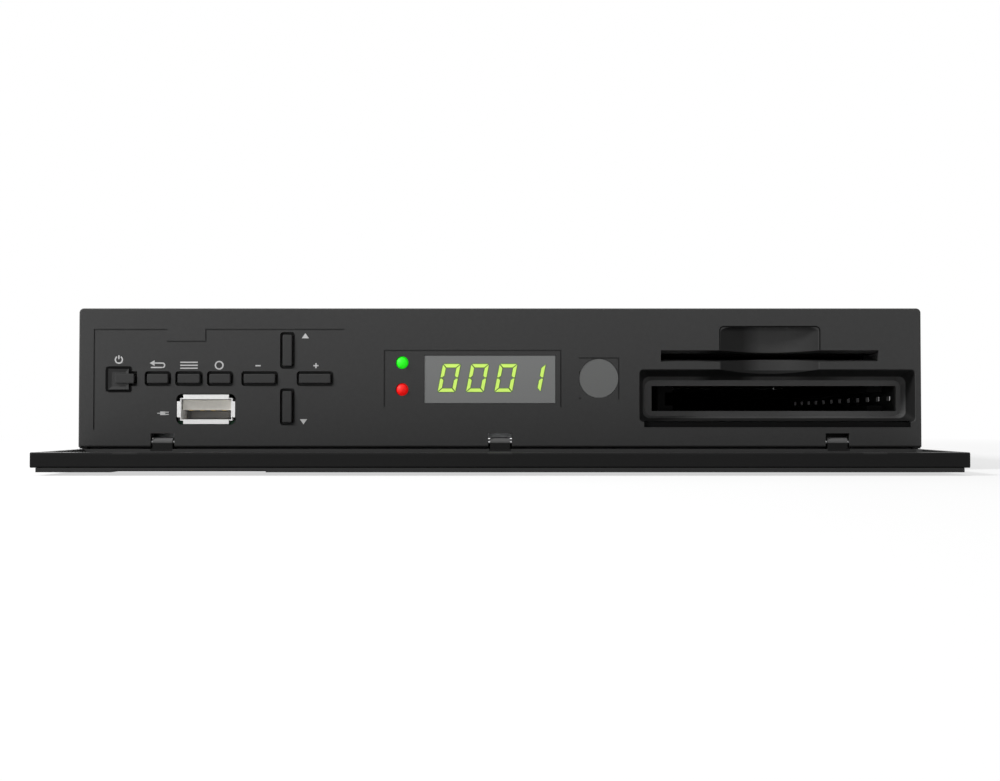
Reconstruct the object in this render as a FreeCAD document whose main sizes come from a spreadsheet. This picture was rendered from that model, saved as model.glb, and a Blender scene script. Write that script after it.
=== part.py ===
import FreeCAD, Part
import os
import re
import Sketcher

# A satellite television receiver, front towards -Y, standing on its feet at Z = 0.
# Every length is in millimetres. The pieces are laid out from the front face of the bezel,
# and each one's Placement then moves it to the middle of the footprint.

SIZES = {
    # moulded front
    "bezelWidth": 212.5, "bezelHeight": 35.0, "bezelDepth": 14.0,
    "faceWall": 2.0, "sideWall": 1.8, "bezelCornerRadius": 1.15, "bezelEdgeRadius": 0.45,
    "grooveWidth": 0.35, "grooveDepth": 0.3, "panelRiseTop": 29.8, "panelRiseFoot": 4.3,
    "panelDrop": 3.35, "bossRadius": 2.4,
    # feet and metal case
    "skirtY": 3.2, "skirtThickness": 1.4, "skirtDrop": 2.4,
    "footClearance": 5.8, "footRadius": 9.0, "footTaper": 1.0,
    "footFrontY": 26.0, "footRearY": 146.0, "footStubRadius": 2.0, "footStubGap": 0.1,
    "caseLength": 160.0, "caseGauge": 0.8, "caseGap": 0.25, "caseTuck": 2.0,
    "traySideLip": 6.0, "trayGap": 0.2, "coverBend": 1.6,
    "ventLength": 2.8, "ventHeight": 1.2, "ventPitch": 9.66, "ventCount": 12, "ventFirstY": 18.2,
    "ventLevel": 12.5, "topVentLength": 22.0, "topVentWidth": 2.0,
    "topVentPitch": 6.0, "topVentCount": 13, "topVentY": 66.0,
    "coverScrewRadius": 1.5, "coverScrewHead": 2.75, "coverScrewLevel": 5.6, "coverScrewReach": 2.6,
    "coverScrewFrontY": 42.0, "coverScrewRearY": 132.0, "screwHeadHeight": 1.5,
    # hinged flap
    "flapOver": 0.3, "flapReach": 32.3, "flapTuck": 2.7, "flapThickness": 3.5,
    "flapDrop": 0.53, "flapRecess": 1.0, "flapRimFront": 3.8, "flapRimSide": 2.0,
    "flapPlateThickness": 1.0, "flapPlateInset": 1.3,
    "notchDepth": 0.45, "notchReach": 6.0,
    "hingeY": 1.3, "hingeRise": 1.2, "hingeSlotWidth": 6.0,
    "hingeSlotHeight": 3.45, "hingeArmWidth": 5.0, "knuckleRadius": 1.25,
    "hingePinRadius": 0.6, "hingePinGap": 0.05, "hingePinLength": 10.0,
    # keys
    "keyRow": 17.23, "keyHeight": 3.75, "keyGap": 0.55,
    "keyProud": 0.9, "keyEdge": 0.3, "keyStem": 2.4, "keyTravel": 0.4,
    "keyFlangeOver": 0.25, "keyFlangeThickness": 1.0,
    "keyRest": 0.3, "switchGap": 0.1, "switchSize": 6.0, "switchHeight": 3.4,
    "plungerWidth": 3.2, "plungerHeight": 0.5,
    "powerWidth": 6.9, "exitWidth": 6.7, "menuWidth": 7.0, "okWidth": 6.7,
    "sideKeyWidth": 9.3, "crossReachX": 6.975, "crossReachUp": 7.12,
    "dishBottom": 13.85, "dishTop": 20.28, "dishDepth": 0.8, "dishSlope": 0.9,
    # port on the front
    "usbLevel": 9.5, "usbWidth": 13.2, "usbHeight": 5.7, "usbLength": 14.0,
    "usbGauge": 0.3, "usbLipWidth": 14.66, "usbLipHeight": 7.4, "usbFit": 0.2,
    "usbTongueHeight": 1.9, "usbTongueWidth": 11.0,
    # display, lamps and remote eye
    "windowBottom": 11.08, "windowTop": 23.05,
    "windowSet": 0.12, "windowFit": 0.1, "windowFlange": 1.5, "flangeThickness": 0.8,
    "lampGreenLevel": 21.3, "lampRedLevel": 14.5, "lampRadius": 1.5,
    "lampProud": 0.6, "lampFit": 0.1, "lampLength": 6.0, "lampTip": 0.7,
    "eyeLevel": 17.3, "eyeRadius": 4.9,
    # card slots
    "slotLevel": 22.95, "slotMouth": 2.9, "slotThroat": 1.7,
    "scoopWidth": 25.2, "scoopTop": 30.4, "scoopDepth": 2.5, "scoopEdge": 1.5,
    "recessBottom": 4.96, "recessTop": 19.6, "troughHeight": 1.3, "troughDepth": 4.5, "troughInset": 1.2,
    "recessCorner": 1.1, "recessDepth": 6.1,
    "collarBottom": 7.8, "collarTop": 17.0,
    "collarCorner": 2.0, "collarThickness": 1.9,
    "mouthBottom": 9.1, "mouthTop": 15.55,
    "moduleWidth": 54.0, "moduleLevel": 12.3, "moduleEdge": 3.5,
    # boards
    "boardThickness": 1.6, "standoffHeight": 2.2, "standoffRadius": 3.0, "boardSideGap": 3.2,
    "boardFrontY": 17.0, "boardRearGap": 1.0, "boardScrewRadius": 1.5, "boardScrewHead": 2.7,
    "screwGap": 0.1, "keyBoardY": 11.0,
    "keyBoardBottom": 4.9, "keyBoardTop": 31.2,
    "chipSide": 27.0, "chipHeight": 1.8, "sinkSide": 30.0, "sinkBase": 2.0, "sinkHeight": 12.0,
    "finPitch": 3.55, "finThickness": 1.4, "coilPitch": 13.0, "coilSize": 10.0, "canRadius": 4.0,
    "canHeight": 11.5,
    # rear sockets
    "aerialPitch": 20.0, "aerialLevel": 15.0, "aerialRadius": 4.76,
    "aerialReach": 10.5, "aerialBase": 5.3, "aerialStep": 0.5, "aerialBore": 3.2,
}

# Places across the front, for a bezel 212.5 wide. They spread with its width.
ACROSS = {
    "coilX": -84.0, "chipX": -22.0, "memoryLeft": -58.0, "memoryRight": 12.0,
    "footSpread": 85.0, "topVentX": -60.0, "notchLeft": -88.0, "notchRight": -53.0,
    "hingeSpread": 85.0, "powerX": -94.95, "exitX": -86.25, "menuX": -78.4, "okX": -70.55,
    "crossX": -53.6, "dishLeft": -99.4, "dishRight": -92.9, "usbX": -74.1, "windowLeft": -19.05,
    "windowRight": 13.93, "lampX": -24.7, "eyeX": 24.9, "slotLeft": 40.55, "slotRight": 95.5,
    "scoopX": 68.0, "recessLeft": 35.1, "recessRight": 104.8, "collarLeft": 37.1,
    "collarRight": 102.8, "mouthLeft": 38.9, "mouthRight": 101.65, "moduleX": 70.3,
    "keyBoardLeft": -101.0, "keyBoardRight": 33.0, "aerialX": -92.0, "videoPortX": -50.0,
    "lanX": -22.0, "opticX": 2.0, "soundX": 18.0, "powerInX": 92.0, "bossLeft": -98.2,
    "bossRight": 28.0, "panelLeft": -102.47, "panelStep": -83.6, "panelRise": -74.0,
    "panelRight": -39.3,
}

document = FreeCAD.newDocument("Receiver")


def make_sheet(name, cells):
    """Put each value in the second column beside its name."""
    sheet = document.addObject("Spreadsheet::Sheet", name)
    for row, (alias, value) in enumerate(cells.items(), start=1):
        sheet.set("A%d" % row, alias)
        sheet.set("B%d" % row, str(value))
        sheet.setAlias("B%d" % row, alias)
    return sheet


def expand(rule, tables):
    """Turn each name in a rule into a reference to the sheet that holds it."""
    def refer(found):
        word = found.group()
        for name, cells in tables.items():
            if word in cells:
                return "%s.%s" % (name, word)
        return word
    return re.sub(r"[A-Za-z_]\w*", refer, str(rule))


# Places that follow from the sizes: heights are above the table, depths behind the bezel's face.
PLACES = {
    "bezelBottom": "footClearance",
    "bezelTop": "footClearance + bezelHeight",
    "halfBezel": "bezelWidth / 2",
    "trayBottom": "footClearance + sideWall + caseGap",
    "trayTop": "trayBottom + caseGauge",
    "coverTop": "footClearance + bezelHeight - sideWall - caseGap",
    "coverUnder": "coverTop - caseGauge",
    "halfCover": "bezelWidth / 2 - sideWall - caseGap",
    "halfTray": "halfCover - caseGauge - trayGap",
    "caseFront": "bezelDepth - caseTuck",
    "boardBottom": "trayTop + standoffHeight",
    "boardTop": "boardBottom + boardThickness",
    "boardRear": "caseLength - caseGauge - boardRearGap",
    "boardSide": "halfCover - boardSideGap",
    "flapWidth": "bezelWidth + flapOver",
    "panelTop": "footClearance + panelRiseTop",
    "panelFoot": "footClearance + panelRiseFoot",
    "hingeZ": "footClearance + hingeRise",
    "flapTop": "footClearance - flapDrop",
    "flapBottom": "flapTop - flapThickness",
    "keyFlangeFront": "faceWall + keyRest",
    "keyFlangeBack": "keyFlangeFront + keyFlangeThickness",
    "switchFront": "keyBoardY - switchHeight",
    "plungerFront": "switchFront - plungerHeight",
    "keyStemBack": "plungerFront - keyTravel - switchGap",
    "keyBoardBack": "keyBoardY + boardThickness",
    "collarBack": "recessDepth + collarThickness",
    "cageTop": "footClearance + moduleLevel + moduleEdge / 2 + 4.6",
    "shiftY": "(flapReach - caseLength - aerialReach) / 2",
}


make_sheet("Sizes", SIZES)
make_sheet("Places", {alias: "=" + expand(rule, {"Sizes": SIZES}) for alias, rule in PLACES.items()})
make_sheet("Across", {alias: "=%s * Sizes.bezelWidth / 212.5" % x for alias, x in ACROSS.items()})
TABLES = {"Sizes": SIZES, "Places": PLACES, "Across": ACROSS}
PIECES = {}
DEPTHS = {}


def bind(item, path, rule):
    item.setExpression(path, expand(rule, TABLES))


def up(rule):
    """A height measured from the bezel's lower edge, as one above the table."""
    return "footClearance + %s" % rule


def add(kind, name):
    return document.addObject(kind, name)


def place(item, x="0", y="0", z="0"):
    for letter, rule in zip("xyz", (x, y, z)):
        bind(item, "Placement.Base." + letter, rule)
    DEPTHS[item.Name] = y


def block(name, x, y, z):
    """A box between a low and a high rule on each axis."""
    item = add("Part::Box", name)
    for path, (low, high) in zip(("Length", "Width", "Height"), (x, y, z)):
        bind(item, path, "(%s) - (%s)" % (high, low))
    place(item, x[0], y[0], z[0])
    return item


TURNS = {
    "x": FreeCAD.Rotation(FreeCAD.Vector(0, 1, 0), 90),
    "y": FreeCAD.Rotation(FreeCAD.Vector(1, 0, 0), -90),
    "z": FreeCAD.Rotation(),
}


def rod(name, axis, radius, start, length):
    """A cylinder along one axis from a start point."""
    item = add("Part::Cylinder", name)
    item.Placement = FreeCAD.Placement(FreeCAD.Vector(), TURNS[axis])
    bind(item, "Radius", radius)
    bind(item, "Height", length)
    place(item, *start)
    return item


def post(name, axis, radius, start, length):
    """An eight-sided rod, for small hidden pins and their holes."""
    item = add("Part::Prism", name)
    item.Polygon = 8
    item.Placement = FreeCAD.Placement(FreeCAD.Vector(), TURNS[axis])
    bind(item, "Circumradius", radius)
    bind(item, "Height", length)
    place(item, *start)
    return item


def hopper(name, y, front, back):
    """A block whose front and back faces differ; each face is an x pair and a z pair."""
    item = add("Part::Wedge", name)
    rules = {"Ymin": y[0], "Ymax": y[1]}
    for (low, high), letter in zip(front, "XZ"):
        rules[letter + "min"] = low
        rules[letter + "max"] = high
    for (low, high), letter in zip(back, "XZ"):
        rules[letter + "2min"] = low
        rules[letter + "2max"] = high
    for path, rule in rules.items():
        bind(item, path, rule)
    return item


def fuse(name, shapes):
    item = add("Part::MultiFuse", name)
    item.Shapes = list(shapes)
    item.Refine = True
    return item


def cut(name, base, tools):
    item = add("Part::Cut", name)
    item.Base = base
    item.Tool = tools[0] if len(tools) == 1 else fuse(name + "Tools", tools)
    item.Refine = True
    return item


def group(name, shapes):
    item = add("Part::Compound", name)
    item.Links = list(shapes)
    return item


def soften(name, base, radius, picked):
    """Round the edges that a test picks by their middle point and direction."""
    document.recompute()
    item = add("Part::Fillet", name)
    item.Base = base
    chosen = []
    for number, edge in enumerate(base.Shape.Edges, start=1):
        middle = edge.valueAt((edge.FirstParameter + edge.LastParameter) / 2)
        if picked(edge, middle):
            chosen.append((number, radius, radius))
    item.Edges = chosen
    return item


def trim(name, base, width, picked):
    """Cut a small flat on the edges that a test picks by their middle point."""
    document.recompute()
    item = add("Part::Chamfer", name)
    item.Base = base
    item.Edges = [(number, width, width) for number, edge in enumerate(base.Shape.Edges, start=1)
                  if picked(edge.valueAt((edge.FirstParameter + edge.LastParameter) / 2))]
    return item


def keep(node, item):
    """Name a finished piece and move it to the frame of the whole."""
    item.Label = node
    PIECES[node] = item
    bind(item, "Placement.Base.y", "shiftY + (%s)" % DEPTHS.get(item.Name, "0"))


def number(alias):
    """A size or place as a plain number, for edge tests."""
    table = document.Sizes if alias in SIZES else document.Places
    return float(table.get(alias))


# Sketches and bodies

def plane(body, role):
    return [item for item in body.Origin.OriginFeatures if item.Role == role][0]


def new_sketch(body, name, role, offset="0"):
    sketch = body.newObject("Sketcher::SketchObject", name)
    sketch.AttachmentSupport = [(plane(body, role), "")]
    sketch.MapMode = "FlatFace"
    bind(sketch, "AttachmentOffset.Base.z", offset)
    return sketch


def fix_point(sketch, index, end, name, u, v):
    """Hold one point of a sketch at two rules."""
    for kind, letter, rule in (("DistanceX", "U", u), ("DistanceY", "V", v)):
        constraint = Sketcher.Constraint(kind, -1, 1, index, end, 1.0)
        spot = sketch.addConstraint(constraint)
        sketch.renameConstraint(spot, name + letter)
        sketch.setExpression("Constraints.%s%s" % (name, letter), expand(rule, TABLES))


def value_of(rule):
    """Work a rule out now, for the first position of a sketch's points."""
    sheet = document.Places
    cell = "D1"
    sheet.set(cell, "=" + expand(rule, TABLES))
    document.recompute([sheet])
    found = float(sheet.get(cell))
    sheet.clear(cell)
    return found


def draw_path(sketch, name, corners):
    """A closed outline of straight lines through corners, each held by its rules."""
    points = [FreeCAD.Vector(value_of(u), value_of(v), 0) for u, v in corners]
    first = sketch.GeometryCount
    for here, there in zip(points, points[1:] + points[:1]):
        sketch.addGeometry(Part.LineSegment(here, there), False)
    total = len(corners)
    for step in range(total):
        follow = first + (step + 1) % total
        sketch.addConstraint(Sketcher.Constraint("Coincident", first + step, 2, follow, 1))
    for step, (u, v) in enumerate(corners):
        fix_point(sketch, first + step, 1, "%s%d" % (name, step), u, v)


def draw_box(sketch, name, u, v):
    corners = [(u[0], v[0]), (u[1], v[0]), (u[1], v[1]), (u[0], v[1])]
    draw_path(sketch, name, corners)


def extrude(body, kind, name, sketch, length, backwards):
    item = body.newObject(kind, name)
    item.Profile = sketch
    bind(item, "Length", length)
    item.Reversed = backwards
    return item


def round_body(body, name, feature, radius, picked):
    """Round a body's edges that a test picks by their middle point."""
    document.recompute()
    names = []
    for count, edge in enumerate(feature.Shape.Edges, start=1):
        middle = edge.valueAt((edge.FirstParameter + edge.LastParameter) / 2)
        if picked(edge, middle):
            names.append("Edge%d" % count)
    item = body.newObject("PartDesign::Fillet", name)
    item.Base = (feature, names)
    bind(item, "Radius", radius)
    return item


def runs_along(edge, axis):
    """Whether an edge is straight along a named axis."""
    if edge.Curve.TypeId != "Part::GeomLine":
        return False
    direction = edge.Curve.Direction
    return abs(getattr(direction, axis)) > 0.99


# Keys: name, centre x, centre height, width, height, all as rules.
KEYS = [
    ("power_key", "powerX", "keyRow", "powerWidth", "keyHeight"),
    ("exit_key", "exitX", "keyRow", "exitWidth", "keyHeight"),
    ("menu_key", "menuX", "keyRow", "menuWidth", "keyHeight"),
    ("ok_key", "okX", "keyRow", "okWidth", "keyHeight"),
    ("volume_down_key", "crossX - crossReachX", "keyRow", "sideKeyWidth", "keyHeight"),
    ("volume_up_key", "crossX + crossReachX", "keyRow", "sideKeyWidth", "keyHeight"),
    ("channel_up_key", "crossX", "keyRow + crossReachUp", "keyHeight", "sideKeyWidth"),
    ("channel_down_key", "crossX", "keyRow - crossReachUp", "keyHeight", "sideKeyWidth"),
]


def around(centre, size, extra="0"):
    """The low and high rule of a span about a centre."""
    half = "((%s) / 2 + (%s))" % (size, extra)
    return ("(%s) - %s" % (centre, half), "(%s) + %s" % (centre, half))


def bezel_shell():
    """The moulded front: a face and four returns, open at the back."""
    body = add("PartDesign::Body", "BezelShell")
    outline = new_sketch(body, "BezelOutline", "XZ_Plane")
    draw_box(outline, "edge", around("0", "bezelWidth"), ("bezelBottom", "bezelTop"))
    pad = extrude(body, "PartDesign::Pad", "BezelPad", outline, "bezelDepth", True)
    top = number("bezelTop")
    corners = round_body(body, "BezelCorners", pad, "bezelCornerRadius",
                         lambda edge, at: runs_along(edge, "y") and at.z > top - 1)
    edges = round_body(body, "BezelEdges", corners, "bezelEdgeRadius",
                       lambda edge, at: abs(at.y) < 0.01)
    hollow = new_sketch(body, "BezelHollow", "XZ_Plane", "-bezelDepth")
    draw_box(hollow, "wall", around("0", "bezelWidth - 2 * sideWall"),
             ("bezelBottom + sideWall", "bezelTop - sideWall"))
    pocket = extrude(body, "PartDesign::Pocket", "BezelPocket", hollow,
                     "bezelDepth - faceWall", True)
    body.Tip = pocket
    document.recompute()
    if pocket.Shape.Volume > edges.Shape.Volume * 0.5:
        raise RuntimeError("the bezel's hollow was not cut")
    return body


def recess_tools():
    """The funnel, the mouth behind it, the card slot and the thumb scoop."""
    lead = hopper("RecessFunnel", ("-0.01", "recessDepth"),
                  (("recessLeft", "recessRight"), (up("recessBottom + troughHeight"), up("recessTop"))),
                  (("collarLeft", "collarRight"), (up("collarBottom"), up("collarTop"))))
    funnel = widen_corners(lead)
    trough = block("RecessTrough", ("recessLeft + troughInset", "recessRight - troughInset"),
                   ("-0.01", "troughDepth"),
                   (up("recessBottom"), up("recessBottom + troughHeight + grooveWidth")))
    mouth = block("RecessMouth", ("mouthLeft", "mouthRight"), ("recessDepth - 1", "collarBack + 1"),
                  (up("mouthBottom"), up("mouthTop")))
    slot_lead = hopper("SlotLead", ("-0.01", "scoopDepth + 0.5"),
                       (("slotLeft", "slotRight"), around(up("slotLevel"), "slotMouth")),
                       (("slotLeft", "slotRight"), around(up("slotLevel"), "slotThroat")))
    slot = block("SlotThroat", ("slotLeft", "slotRight"), ("scoopDepth", "bezelDepth + 1"),
                 around(up("slotLevel"), "slotThroat"))
    curve = "((scoopWidth / 2) ^ 2 + scoopDepth ^ 2) / (2 * scoopDepth)"
    scoop = rod("Scoop", "z", curve, ("scoopX", "scoopDepth - " + curve, up("recessTop - 2")),
                "scoopTop - recessTop + 2")
    document.recompute()
    rounded = soften("ScoopRound", scoop, number("scoopEdge"),
                     lambda edge, at: at.z > number("scoopTop") + number("footClearance") - 0.1
                     and edge.Curve.TypeId == "Part::GeomCircle")
    return [funnel, trough, mouth, slot_lead, slot, rounded]


def widen_corners(lead):
    """Round the funnel's four slanting corners, more at the collar than at the face."""
    document.recompute()
    item = add("Part::Fillet", "RecessFunnelRound")
    item.Base = lead
    face, collar = number("recessCorner"), number("collarCorner")
    rounds = []
    for index, edge in enumerate(lead.Shape.Edges, start=1):
        first, last = edge.valueAt(edge.FirstParameter).y, edge.valueAt(edge.LastParameter).y
        if abs(last - first) > 1:
            rounds.append((index, face, collar) if first < last else (index, collar, face))
    item.Edges = rounds
    return item


def groove_frame(name, x, z):
    """A thin rectangular line cut into the face."""
    y = ("-0.01", "grooveDepth")
    outer = block(name + "Outer", x, y, z)
    inner = block(name + "Inner", (x[0] + " + grooveWidth", x[1] + " - grooveWidth"), y,
                  (z[0] + " + grooveWidth", z[1] + " - grooveWidth"))
    return cut(name, outer, [inner])


def grooves():
    """Thin lines round the display group, the remote eye and the key panel."""
    y = ("-0.01", "grooveDepth")
    display = groove_frame("DisplayLine", ("windowLeft - 10.25", "windowRight + 1.57"),
                           (up("windowBottom - 0.98"), up("windowTop + 1.45")))
    eye = groove_frame("EyeLine", ("eyeX - 4.9", "eyeX + 5.2"),
                       (up("eyeLevel - 5.2"), up("eyeLevel + 5.3")))
    line, low = ("panelTop - grooveWidth", "panelTop"), "panelTop - panelDrop"
    left = block("PanelLineLeft", ("panelLeft", "panelLeft + grooveWidth"), y, ("panelFoot", "panelTop"))
    top = block("PanelLineTop", ("panelLeft", "panelStep"), y, line)
    step = block("PanelLineStep", ("panelStep - grooveWidth", "panelStep"), y, (low, "panelTop"))
    tab = block("PanelLineTab", ("panelStep - grooveWidth", "panelRise"), y,
                (low, low + " + grooveWidth"))
    rise = block("PanelLineRise", ("panelRise - grooveWidth", "panelRise"), y, (low, "panelTop"))
    rest = block("PanelLineRest", ("panelRise - grooveWidth", "panelRight"), y, line)
    return [display, eye, left, top, step, tab, rise, rest]


def key_hole(name, x, z, width, height):
    return block(name + "Hole", around(x, width), ("-1", "faceWall + 1"), around(up(z), height))


def front_bezel():
    """The bezel with its slot guides, screw bosses and every cut-out of the face."""
    shell = bezel_shell()
    inside = "halfBezel - sideWall / 2"
    tub = block("RecessTub", ("recessLeft - sideWall", inside), ("faceWall / 2", "collarBack"),
                ("bezelBottom + sideWall / 2", up("recessTop + 1.2")))
    guide = block("SlotGuide", ("slotLeft - 1.4", "slotRight + 1.4"), ("faceWall / 2", "bezelDepth"),
                  around(up("slotLevel"), "slotThroat", "1.4"))
    scoop_wall = block("ScoopWall", around("scoopX", "scoopWidth", "1.5"),
                       ("faceWall / 2", "scoopDepth + 1.6"),
                       (up("recessTop"), up("scoopTop + 1.4")))
    bosses = []
    for number_, (x, z) in enumerate(boss_places()):
        bosses.append(post("Boss%d" % number_, "y", "bossRadius", (x, "faceWall / 2", z),
                           "keyBoardY - faceWall / 2"))
    skirt = block("BezelSkirt", around("0", "bezelWidth - 2 * sideWall"),
                  ("skirtY", "skirtY + skirtThickness"),
                  ("bezelBottom - skirtDrop", "bezelBottom + sideWall / 2"))
    solid = fuse("BezelSolid", [shell, tub, guide, scoop_wall, skirt] + bosses)
    tools = recess_tools() + grooves()
    for name, x, z, width, height in KEYS:
        tools.append(key_hole(name, x, z, width, height))
    tools.append(hopper("PowerDish", ("-0.01", "dishDepth"),
                        (("dishLeft", "dishRight"), (up("dishBottom"), up("dishTop"))),
                        (("dishLeft + dishSlope", "dishRight - dishSlope"),
                         (up("dishBottom + dishSlope"), up("dishTop - dishSlope")))))
    tools.append(block("UsbHole", around("usbX", "usbLipWidth", "usbFit"), ("-1", "faceWall + 1"),
                       around(up("usbLevel"), "usbLipHeight", "usbFit")))
    tools.append(block("WindowHole", ("windowLeft - windowFit", "windowRight + windowFit"),
                       ("-1", "faceWall + 1"),
                       (up("windowBottom - windowFit"), up("windowTop + windowFit"))))
    tools.append(rod("EyeHole", "y", "eyeRadius + windowFit", ("eyeX", "-1", up("eyeLevel")),
                     "faceWall + 2"))
    for colour, level in (("Green", "lampGreenLevel"), ("Red", "lampRedLevel")):
        tools.append(rod("LampHole" + colour, "y", "lampRadius + lampFit",
                         ("lampX", "-1", up(level)), "faceWall + 2"))
    for number_, (x, z) in enumerate(boss_places()):
        tools.append(post("BossHole%d" % number_, "y", "boardScrewRadius",
                          (x, "faceWall + 2", z), "keyBoardY"))
    for number_, x in enumerate(hinge_places()):
        tools.append(block("HingeSlot%d" % number_, around(x, "hingeSlotWidth"), ("-1", "4"),
                           ("bezelBottom - 1", up("hingeSlotHeight"))))
        tools.append(rod("HingeBore%d" % number_, "x", "hingePinRadius",
                         ("%s - hingePinLength / 2" % x, "hingeY", "hingeZ"), "hingePinLength"))
    keep("front_bezel", cut("FrontBezel", solid, tools))


def boss_places():
    return [("bossLeft", up("26.5")), ("bossLeft", up("8.6")), ("bossRight", up("27.6")),
            ("bossRight", up("8"))]


def hinge_places():
    return ["-hingeSpread", "0", "hingeSpread"]


def hinge_pins():
    pins = [rod("HingePin%d" % step, "x", "hingePinRadius",
                ("%s - hingePinLength / 2" % x, "hingeY", "hingeZ"), "hingePinLength")
            for step, x in enumerate(hinge_places())]
    keep("hinge_pins", group("HingePins", pins))


def flap():
    """The drop-down flap: an inner panel with hinge arms, and a thin outer plate."""
    rear = "flapTuck"
    panel = block("FlapSlab", around("0", "flapWidth"), ("-flapReach", rear), ("flapBottom", "flapTop"))
    document.recompute()
    low = -number("flapReach") + 0.01
    slab = soften("FlapSlabRound", panel, 0.5, lambda edge, at: at.y < low and abs(at.x) < 1)
    parts = [slab]
    for step, x in enumerate(hinge_places()):
        parts.append(rod("Knuckle%d" % step, "x", "knuckleRadius",
                         ("%s - hingeArmWidth / 2" % x, "hingeY", "hingeZ"), "hingeArmWidth"))
        parts.append(block("HingeArm%d" % step, around(x, "hingeArmWidth"),
                           ("hingeY - knuckleRadius", "hingeY + knuckleRadius"),
                           ("flapTop - 0.5", "hingeZ")))
    whole = fuse("FlapSolid", parts)
    tools = [block("FlapHollow", around("0", "flapWidth - 2 * flapRimSide"),
                   ("-flapReach + flapRimFront", "-1.1"), ("flapTop - flapRecess", "flapTop + 1"))]
    for step, x in enumerate(hinge_places()):
        tools.append(rod("KnuckleBore%d" % step, "x", "hingePinRadius + hingePinGap",
                         ("%s - hingeArmWidth" % x, "hingeY", "hingeZ"), "2 * hingeArmWidth"))
    keep("flap_panel", cut("FlapPanel", whole, tools))
    plate_low = "flapBottom - flapPlateThickness"
    plate = block("FlapPlateSlab", around("0", "flapWidth - 2 * flapPlateInset"),
                  ("-flapReach", rear), (plate_low, "flapBottom"))
    grip = block("FlapGrip", ("notchLeft", "notchRight"), ("-flapReach - 1", "-flapReach + notchReach"),
                 (plate_low + " - 1", plate_low + " + notchDepth"))
    keep("flap_plate", cut("FlapPlate", plate, [grip]))


def keys():
    """Each key is a cap with trimmed edges, a flange that holds it in, and a stem."""
    for name, x, z, width, height in KEYS:
        cap = block(name + "Cap", around(x, width, "-keyGap"), ("-keyProud", "keyFlangeFront + 0.2"),
                    around(up(z), height, "-keyGap"))
        document.recompute()
        front = cap.Shape.BoundBox.YMin + 0.01
        trimmed = trim(name + "Trim", cap, number("keyEdge"), lambda at: at.y < front)
        flange = block(name + "Flange", around(x, width, "keyFlangeOver"),
                       ("keyFlangeFront", "keyFlangeBack"), around(up(z), height, "keyFlangeOver"))
        stem = block(name + "Stem", around(x, "keyStem"), ("keyFlangeBack - 0.2", "keyStemBack"),
                     around(up(z), "keyStem"))
        keep(name, fuse(name + "Whole", [trimmed, flange, stem]))


def key_switches():
    """A small square switch on the key board behind each key."""
    switches = []
    for name, x, z, _, _ in KEYS:
        case = block(name + "Switch", around(x, "switchSize"), ("switchFront", "keyBoardY"),
                     around(up(z), "switchSize"))
        plunger = block(name + "Plunger", around(x, "plungerWidth"), ("plungerFront", "switchFront"),
                        around(up(z), "plungerWidth"))
        switches.append(fuse(name + "SwitchWhole", [case, plunger]))
    keep("tact_switches", group("TactSwitches", switches))


def key_board():
    """The upright board behind the keys, cut away over the port."""
    board = block("KeyBoardSlab", ("keyBoardLeft", "keyBoardRight"), ("keyBoardY", "keyBoardBack"),
                  (up("keyBoardBottom"), up("keyBoardTop")))
    gap = block("KeyBoardGap", around("usbX", "usbLipWidth", "4"), ("keyBoardY - 1", "keyBoardBack + 1"),
                (up("keyBoardBottom - 1"), up("usbLevel + usbHeight / 2 + 1")))
    holes = [post("KeyBoardHole%d" % step, "y", "boardScrewRadius + screwGap", (x, "keyBoardY - 1", z),
                  "boardThickness + 2") for step, (x, z) in enumerate(boss_places())]
    keep("key_board", cut("KeyBoard", board, [gap] + holes))
    screws = []
    for step, (x, z) in enumerate(boss_places()):
        shank = post("KeyBoardShank%d" % step, "y", "boardScrewRadius", (x, "keyBoardBack - 6", z), "6")
        head = post("KeyBoardHead%d" % step, "y", "boardScrewHead", (x, "keyBoardBack", z),
                    "screwHeadHeight")
        screws.append(fuse("KeyBoardScrew%d" % step, [shank, head]))
    keep("key_board_screws", group("KeyBoardScrews", screws))


def display():
    """The window in the bezel and the four-digit block behind it."""
    pane = block("WindowPane", ("windowLeft", "windowRight"), ("windowSet", "faceWall + 0.4"),
                 (up("windowBottom"), up("windowTop")))
    flange = block("WindowFlange", ("windowLeft - windowFlange", "windowRight + windowFlange"),
                   ("faceWall", "faceWall + flangeThickness"),
                   (up("windowBottom - windowFlange"), up("windowTop + windowFlange")))
    keep("display_window", fuse("DisplayWindow", [pane, flange]))
    keep("display_module", block("DisplayModule", ("windowLeft + 1", "windowRight - 1"),
                                 ("faceWall + flangeThickness + 0.3", "keyBoardY"),
                                 (up("windowBottom - 0.4"), up("windowTop + 0.4"))))
    disc = rod("EyeDisc", "y", "eyeRadius", ("eyeX", "windowSet", up("eyeLevel")),
               "faceWall - windowSet + 0.4")
    ring = block("EyeFlange", around("eyeX", "2 * eyeRadius + 2.2"),
                 ("faceWall", "faceWall + flangeThickness"), around(up("eyeLevel"), "2 * eyeRadius + 2.2"))
    keep("remote_window", fuse("RemoteWindow", [disc, ring]))
    case = block("EyeCase", around("eyeX", "5.6"), ("7", "keyBoardY"), around(up("eyeLevel"), "6.8"))
    bead = rod("EyeBead", "y", "2.3", ("eyeX", "5", up("eyeLevel")), "2.5")
    keep("remote_receiver", fuse("RemoteReceiver", [case, bead]))


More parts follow.
